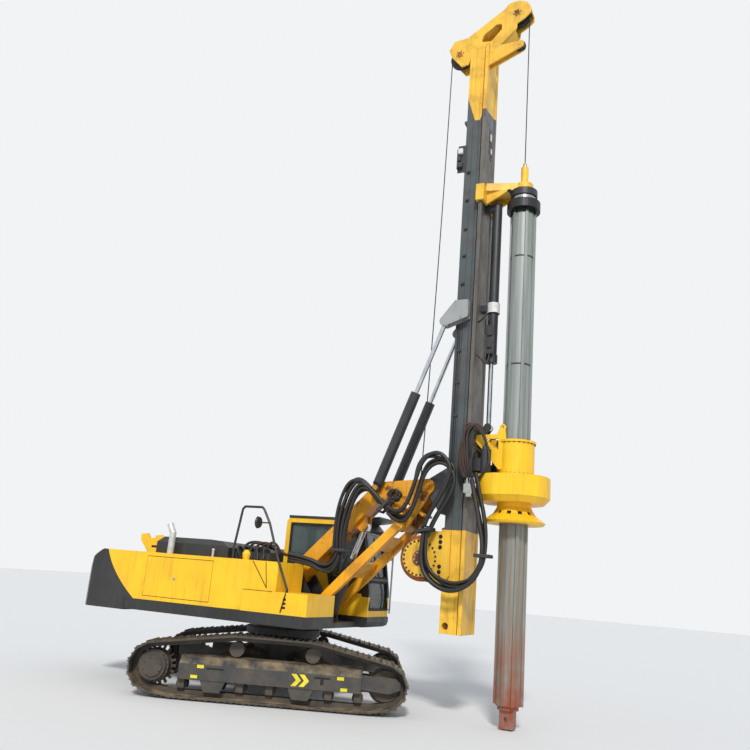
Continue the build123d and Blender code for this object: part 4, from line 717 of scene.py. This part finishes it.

# Hydraulic hoses, each clamped at both ends of a run; each run names two bodies and its bend's ends, but is
# only baked in place

hoseRuns = {
    # name: bodies, where the bend starts and ends, the middle line, then each hose's offset and radius
    "deckHoses": dict(bodies=("upper", "boom"), start=(0.6, -0.45, 2.1), end=(1.12, -0.45, 2.28), line=(
        (0.25, -0.50, 2.16), (0.60, -0.47, 2.13), (0.92, -0.45, 1.99), (1.10, -0.45, 2.10),
        (1.14, -0.45, 2.31)),
        strands=((0, -0.055, 0.05, 0.024), (0, 0.0, 0.055, 0.024), (0, 0.055, 0.04, 0.024),
                 (0.01, -0.03, -0.01, 0.028), (0.01, 0.035, -0.015, 0.024), (0.03, -0.055, -0.05, 0.024))),
    "boomHoses": dict(bodies=("boom", "end_frame"), start=(1.25, -0.47, 2.9), end=(1.75, -0.47, 3.2), line=(
        (1.14, -0.45, 2.31), (1.14, -0.49, 2.62), (1.20, -0.52, 2.98), (1.34, -0.535, 3.36),
        (1.52, -0.54, 3.42), (1.76, -0.525, 3.20), (1.90, -0.49, 3.04)),
        strands=((-0.08, -0.055, 0.05, 0.029), (-0.02, -0.06, 0.03, 0.029), (-0.05, 0.0, 0.07, 0.026),
                 (-0.05, 0.055, 0.04, 0.026), (0.045, -0.06, -0.015, 0.029), (0.04, 0.0, -0.035, 0.026),
                 (0.02, 0.055, -0.02, 0.026), (0.085, -0.05, -0.07, 0.027), (0.08, 0.01, -0.10, 0.024))),
    "mastHoses": dict(bodies=("end_frame", "mast"), start=(1.97, -0.5, 3.0), end=(2.53, -0.5, 3.0), line=(
        (1.90, -0.49, 3.04), (2.06, -0.51, 2.90), (2.28, -0.535, 2.94), (2.42, -0.54, 3.34),
        (2.50, -0.54, 3.76), (2.78, -0.535, 3.86), (3.02, -0.53, 3.68), (2.94, -0.52, 3.38),
        (2.80, -0.51, 3.12), (2.66, -0.49, 2.88), (2.59, -0.48, 2.70)),
        strands=((0.0, -0.06, 0.06, 0.033), (-0.05, 0.0, 0.03, 0.029), (0.03, 0.055, -0.05, 0.029),
                 (0.06, -0.035, -0.09, 0.029), (-0.05, 0.05, 0.08, 0.025), (0.05, 0.02, -0.01, 0.025))),
    "rotaryHoses": dict(bodies=("mast", "rotary"), start=(2.75, -0.5, 2.3), end=(3.38, -0.5, 2.3), line=(
        (2.59, -0.48, 2.70), (2.54, -0.49, 2.32), (2.70, -0.50, 1.99), (3.10, -0.52, 1.83),
        (3.46, -0.52, 2.08), (3.55, -0.50, 2.50), (3.47, -0.48, 2.94), (3.36, -0.46, 3.30),
        (3.31, -0.46, 3.54)),
        strands=((0.0, -0.055, -0.03, 0.034), (0.04, 0.0, 0.04, 0.033), (-0.03, 0.055, 0.0, 0.029),
                 (0.06, -0.04, 0.075, 0.025))),
}
# Each hose wanders a little off its neighbours between the clamps: how far, and how its phase in x and in z
# grows from hose to hose and from point to point
wander = dict(reach=0.022, x=(2.3, 1.9), z=(1.7, 2.6))
(xHose, xPoint), (zHose, zPoint) = wander["x"], wander["z"]
for name, run in hoseRuns.items():
    routes = {}
    last = len(run["line"]) - 1
    for row, (dx, dy, dz, radius) in enumerate(run["strands"]):
        free = [wander["reach"] * math.sin(math.pi * k / last) for k in range(last + 1)]
        routes.setdefault(radius, []).append([
            (x + dx + free[k] * math.sin(xHose * row + xPoint * k), y + dy,
             z + dz + free[k] * math.cos(zHose * row + zPoint * k))
            for k, (x, y, z) in enumerate(run["line"])])
    for number, (radius, group) in enumerate(routes.items()):
        bend = (*run["bodies"], run["start"], run["end"])
        tubeAlong(f"{name}{number}", group, radius, "hoseRubber", blend=bend)

clamps = (
    # name, body, centre, tilt about y in degrees, half width
    ("boomHoseClamp", "boom", (1.15, -0.45, 2.33), 0, 0.115),
    ("endFrameHoseClamp", "end_frame", (1.90, -0.49, 3.05), -45, 0.115),
    ("mastHoseClamp", "mast", (2.60, -0.48, 2.71), -12, 0.11),
    ("rotaryHoseClamp", "rotary", (3.535, -0.50, 2.38), 0, 0.105),
)
clampWall, clampDepth = 0.012, 0.024
for name, body, centre, tilt, half in clamps:
    bm = bmesh.new()
    addBand(bm, rectangle(0, 0, 2 * half, 2 * half), 0.0, clampWall, -clampDepth, clampDepth)
    turn = Matrix.Rotation(math.radians(tilt), 4, "Y") @ Matrix.Rotation(math.radians(90), 4, "X")
    bm.transform(Matrix.Translation(centre) @ turn)
    finishMesh(name, bm, "castIron", body)

# Pipes and short hoses that stay on one body: name, body, finish, radius, routes

pipes = (
    ("valveHoses", "upper", "mudHose", 0.021, [
        [(-0.50 + 0.11 * k, -0.72, 2.24), (-0.48 + 0.11 * k, -0.70, 2.35 + 0.02 * math.sin(2 * k)),
         (-0.22 + 0.07 * k, -0.63, 2.34 + 0.03 * math.cos(3 * k)), (0.06 + 0.02 * k, -0.57, 2.26 - 0.02 * k),
         (0.27, -0.57 + 0.03 * k, 2.18)] for k in range(5)]),
    ("valveReturns", "upper", "hoseRubber", 0.018, [
        [(-0.47 + 0.11 * k, -0.86, 2.22), (-0.45 + 0.11 * k, -0.87, 2.27 + 0.03 * math.sin(2.1 * k)),
         (-0.50 + 0.13 * k, -0.94, 2.24 + 0.02 * math.cos(4 * k)), (-0.40 + 0.12 * k, -0.99, 2.12),
         (-0.34 + 0.10 * k, -1.0, 2.085)] for k in range(5)]),
    ("gripStrap", "upper", "blackRubber", 0.009, [[(0.745, -1.29, 1.67), (0.765, -1.362, 1.62),
                                                   (0.735, -1.364, 1.48), (0.70, -1.362, 1.33)]]),
    ("mastPipes", "mast", "darkHydraulicPaint", 0.013, [
        [(x, y, 3.60), (x, y, 4.4), (x, y, 5.2), (x, y, 5.95), (x - 0.02, y * 1.02, 6.08)]
        for x in (2.872, 2.908) for y in (-0.276, 0.276)]),
    ("carriageHoses", "rotary", "mudHose", 0.021, [
        [(3.33 - shift, -0.46, 3.54), (3.24 - shift, -0.465 + 0.02 * math.sin(2 * k), 3.66),
         (3.19 - 0.8 * shift, -0.44, 3.95),
         (3.16 - 0.3 * shift + 0.03 * math.sin(5 * k), -0.45 + 0.02 * math.cos(3 * k), 4.22),
         (3.25 - 0.9 * shift, -0.43, 4.38 + 0.05 * math.sin(2.6 * k)),
         (3.38, -0.38, 4.36 + 0.04 * math.cos(3.1 * k)), (3.46, -0.336, 4.11)]
        for k, shift in enumerate((0.0, 0.045, 0.085, 0.13, 0.16))]),
    ("carriageReturns", "rotary", "hoseRubber", 0.017, [
        [(3.20 + 0.05 * k, -0.46, 3.44), (3.22 + 0.03 * k, -0.50, 3.60),
         (3.26 + 0.02 * k, -0.47 - 0.02 * k, 3.85 + 0.06 * k), (3.31 + 0.03 * k, -0.42, 4.10 - 0.08 * k),
         (3.36, -0.30, 4.02 - 0.10 * k)] for k in range(3)]),
    ("motorHose", "rotary", "hoseRubber", 0.02, [
        [(3.36, -0.44, 3.50), (3.47, -0.46, 3.60), (3.56, -0.45, 3.78), (3.53, -0.42, 3.98),
         (3.47, -0.35, 4.08)],
        [(3.46, 0.336, 4.11), (3.40, 0.40, 4.34), (3.28, 0.44, 4.30), (3.20, 0.45, 4.0)]]),
    ("hoseCoil", "end_frame", "hoseRubber", 0.017, [
        [(1.98 + (0.05 + 0.09 * math.sin(2.3 * k) ** 2) * math.cos(k), -0.30 - 0.07 * math.sin(1.7 * k) ** 2,
          3.25 + (0.04 + 0.085 * math.cos(1.3 * k) ** 2) * math.sin(k)) for k in range(60)]]),
    ("crowdPipes", "mast", "hoseRubber", 0.015, [
        [(3.39, -0.14, 6.10), (3.39, -0.155, 6.26), (3.33, -0.20, 6.32), (3.27, -0.22, 6.20),
         (3.20, -0.20, 6.16)],
        [(3.39, -0.14, 5.64), (3.39, -0.15, 5.52), (3.33, -0.19, 5.44), (3.27, -0.20, 5.54),
         (3.20, -0.20, 5.60)]]),
)
for name, body, finish, radius, routes in pipes:
    tubeAlong(name, routes, radius, finish, body)

# The block on the rotary drive where the hoses end, with their hexagon fittings

hoseBlock = dict(
    places=[(3.335 - 0.058 * k, -0.46) for k in range(3)],
    # bottom, top, radius and sides of each fitting's nut and sleeve
    fitting=((3.44, 3.50, 0.036, 6), (3.50, 3.54, 0.030, 12)),
    blocks=(((3.17, -0.50, 3.30), (3.375, -0.42, 3.445), 0.012),
            ((3.22, -0.515, 3.24), (3.31, -0.44, 3.305), 0.01)))
bm = bmesh.new()
for x, y in hoseBlock["places"]:
    for low, high, radius, sides in hoseBlock["fitting"]:
        addBar(bm, (x, y, low), (x, y, high), radius, sides=sides)
for low, high, bevel in hoseBlock["blocks"]:
    addBlock(bm, low, high, bevel)
finishMesh("hoseFittings", bm, "zincPlate", "rotary")
print("hoses run")

# Bolts: name, body, finish, size, places

boltRows = (
    ("winchBolts", "mast", "castIron", 0.012, [
        place for hand in bothSides for place in ring((2.46, hand * 0.302, 2.30), (0, hand, 0), 0.262, 24)]),
    ("hubBolts", "mast", "zincPlate", 0.009, [
        place for hand in bothSides for place in ring((2.46, hand * 0.336, 2.30), (0, hand, 0), 0.08, 8)]),
    ("plateBolts", "mast", "blackRubber", 0.021, [
        ((2.79, hand * 0.302, z), (0, hand, 0)) for hand in bothSides
        for z in (2.03, 2.11, 2.19, 2.48, 2.56, 2.64)]),
    ("drumTopBolts", "rotary", "castIron", 0.009, ring((3.85, 0, 4.143), (0, 0, -1), 0.2975, 24)),
    ("drumBaseBolts", "rotary", "castIron", 0.009, ring((3.85, 0, 3.657), (0, 0, 1), 0.308, 28)),
    ("gearboxBolts", "rotary", "yellowPaint", 0.011, [
        place for place in ring((3.85, 0, 3.621), (0, 0, 1), 0.43, 28) if place[0].x > 3.56]),
    ("kellyRingBolts", "kelly_outer", "zincPlate", 0.011, ring((3.85, 0, 8.341), (0, 0, 1), 0.245, 16)),
    ("sheavePinBolts", "mast", "castIron", 0.008, [
        place for x, z in sheaveCentres for hand in bothSides
        for place in ring((x, hand * 0.151, z), (0, hand, 0), 0.07, 6)]),
    ("jointBolts", "mast", "mastGreyPaint", 0.013, [
        ((2.807, -0.2 + 0.08 * k, z), (0, 0, turn)) for k in range(6)
        for z, turn in ((2.724, -1), (2.776, 1), (9.974, -1), (10.026, 1))]),
)
for name, body, finish, size, places in boltRows:
    placeBolts(name, body, finish, size, places)
print("bolts placed")

# Ropes: winch to rear sheave, over the head, and down to the swivel

ropeRadius = 0.009
tubeAlong("rearRope", [[(2.379, 0, 11.58), (2.37, 0, 7.0), (2.255, 0, 2.36)]], ropeRadius, "wireRope", "mast")
overHead = [(2.379, 0, 11.58), (2.385, 0, 11.70), (2.477, 0, 11.761), (3.547, 0, 12.406), (3.70, 0, 12.46),
            (3.84, 0, 12.38), (3.851, 0, 12.235)]
tubeAlong("headRope", [overHead], ropeRadius, "wireRope", "mast")
tubeAlong("kellyRope", [[(3.851, 0, 12.235), (3.85, 0, 9.12)]], ropeRadius, "wireRope",
          blend=("mast", "kelly_guide", (3.85, 0, 12.0), (3.85, 0, 9.2)))
print("ropes run")


# Camera where the photographer stood, below the horizon of the deck

camera = dict(place=(6.74, -11.52, 1.92), azimuth=25.3, elevation=15.2, roll=4.8, lens=36.0,
              sensor=36.0, farthest=200.0)


def placeCamera(settings):
    az, el, roll = (math.radians(settings[key]) for key in ("azimuth", "elevation", "roll"))
    ahead = Vector((-math.sin(az) * math.cos(el), math.cos(az) * math.cos(el), math.sin(el)))
    right = Vector((math.cos(az), math.sin(az), 0))
    up = right.cross(ahead)
    turnedRight = math.cos(roll) * right + math.sin(roll) * up
    turnedUp = -math.sin(roll) * right + math.cos(roll) * up
    data = bpy.data.cameras.new("photoCamera")
    data.lens = settings["lens"]
    data.sensor_width = settings["sensor"]
    data.sensor_fit = "HORIZONTAL"
    data.clip_end = settings["farthest"]
    data.dof.use_dof = False
    holder = bpy.data.objects.new("photoCamera", data)
    turn = Matrix((turnedRight, turnedUp, -ahead)).transposed().to_4x4()
    holder.matrix_world = Matrix.Translation(settings["place"]) @ turn
    bpy.context.scene.collection.objects.link(holder)
    bpy.context.scene.camera = holder


placeCamera(camera)


# Lights: a soft sun from the photographer's right, a pale sky, and a pale floor that keeps the shadow

lights = dict(sunPower=2.6, sunAngle=9.0, sunTurn=(math.radians(50), 0, math.radians(20)),
              sunColour=(1.0, 0.97, 0.92), sky="#dfe6ee", skyPower=0.75, backdrop="#f1f3f5", floor="#d9dadb",
              floorRough=0.9, floorHalf=60.0)


def addLights(settings):
    sun = bpy.data.lights.new("softSun", "SUN")
    sun.energy = settings["sunPower"]
    sun.angle = math.radians(settings["sunAngle"])
    sun.color = settings["sunColour"]
    holder = bpy.data.objects.new("softSun", sun)
    holder.rotation_euler = settings["sunTurn"]
    bpy.context.scene.collection.objects.link(holder)
    world = bpy.data.worlds.new("paleSky")
    bpy.context.scene.world = world
    world.use_nodes = True
    tree = world.node_tree
    tree.nodes.clear()
    path = addNode(tree, "ShaderNodeLightPath")
    seen = path.outputs["Is Camera Ray"]
    for kind in ("Is Glossy Ray", "Is Transmission Ray"):
        seen = addNode(tree, "ShaderNodeMath", {"operation": "MAXIMUM"},
                       {0: seen, 1: path.outputs[kind]}).outputs[0]
    lit = addNode(tree, "ShaderNodeBackground", inputs={"Color": linear(settings["sky"]),
                                                        "Strength": settings["skyPower"]})
    shown = addNode(tree, "ShaderNodeBackground", inputs={"Color": linear(settings["backdrop"])})
    mixed = addNode(tree, "ShaderNodeMixShader", inputs={0: seen, 1: lit.outputs[0], 2: shown.outputs[0]})
    addNode(tree, "ShaderNodeOutputWorld", inputs={"Surface": mixed.outputs[0]})


def addFloor(settings):
    bm = bmesh.new()
    bmesh.ops.create_grid(bm, x_segments=1, y_segments=1, size=settings["floorHalf"])
    mesh = bpy.data.meshes.new("paleFloor")
    bm.to_mesh(mesh)
    bm.free()
    floor = bpy.data.objects.new("paleFloor", mesh)
    bpy.context.scene.collection.objects.link(floor)
    material, tree, shader, coords = startMaterial("paleFloor")
    shader.inputs["Base Color"].default_value = linear(settings["floor"])
    shader.inputs["Roughness"].default_value = settings["floorRough"]
    mesh.materials.append(material)


addLights(lights)
addFloor(lights)

bpy.context.scene.view_settings.view_transform = "Standard"
print("scene ready,", len(pieces), "pieces made")
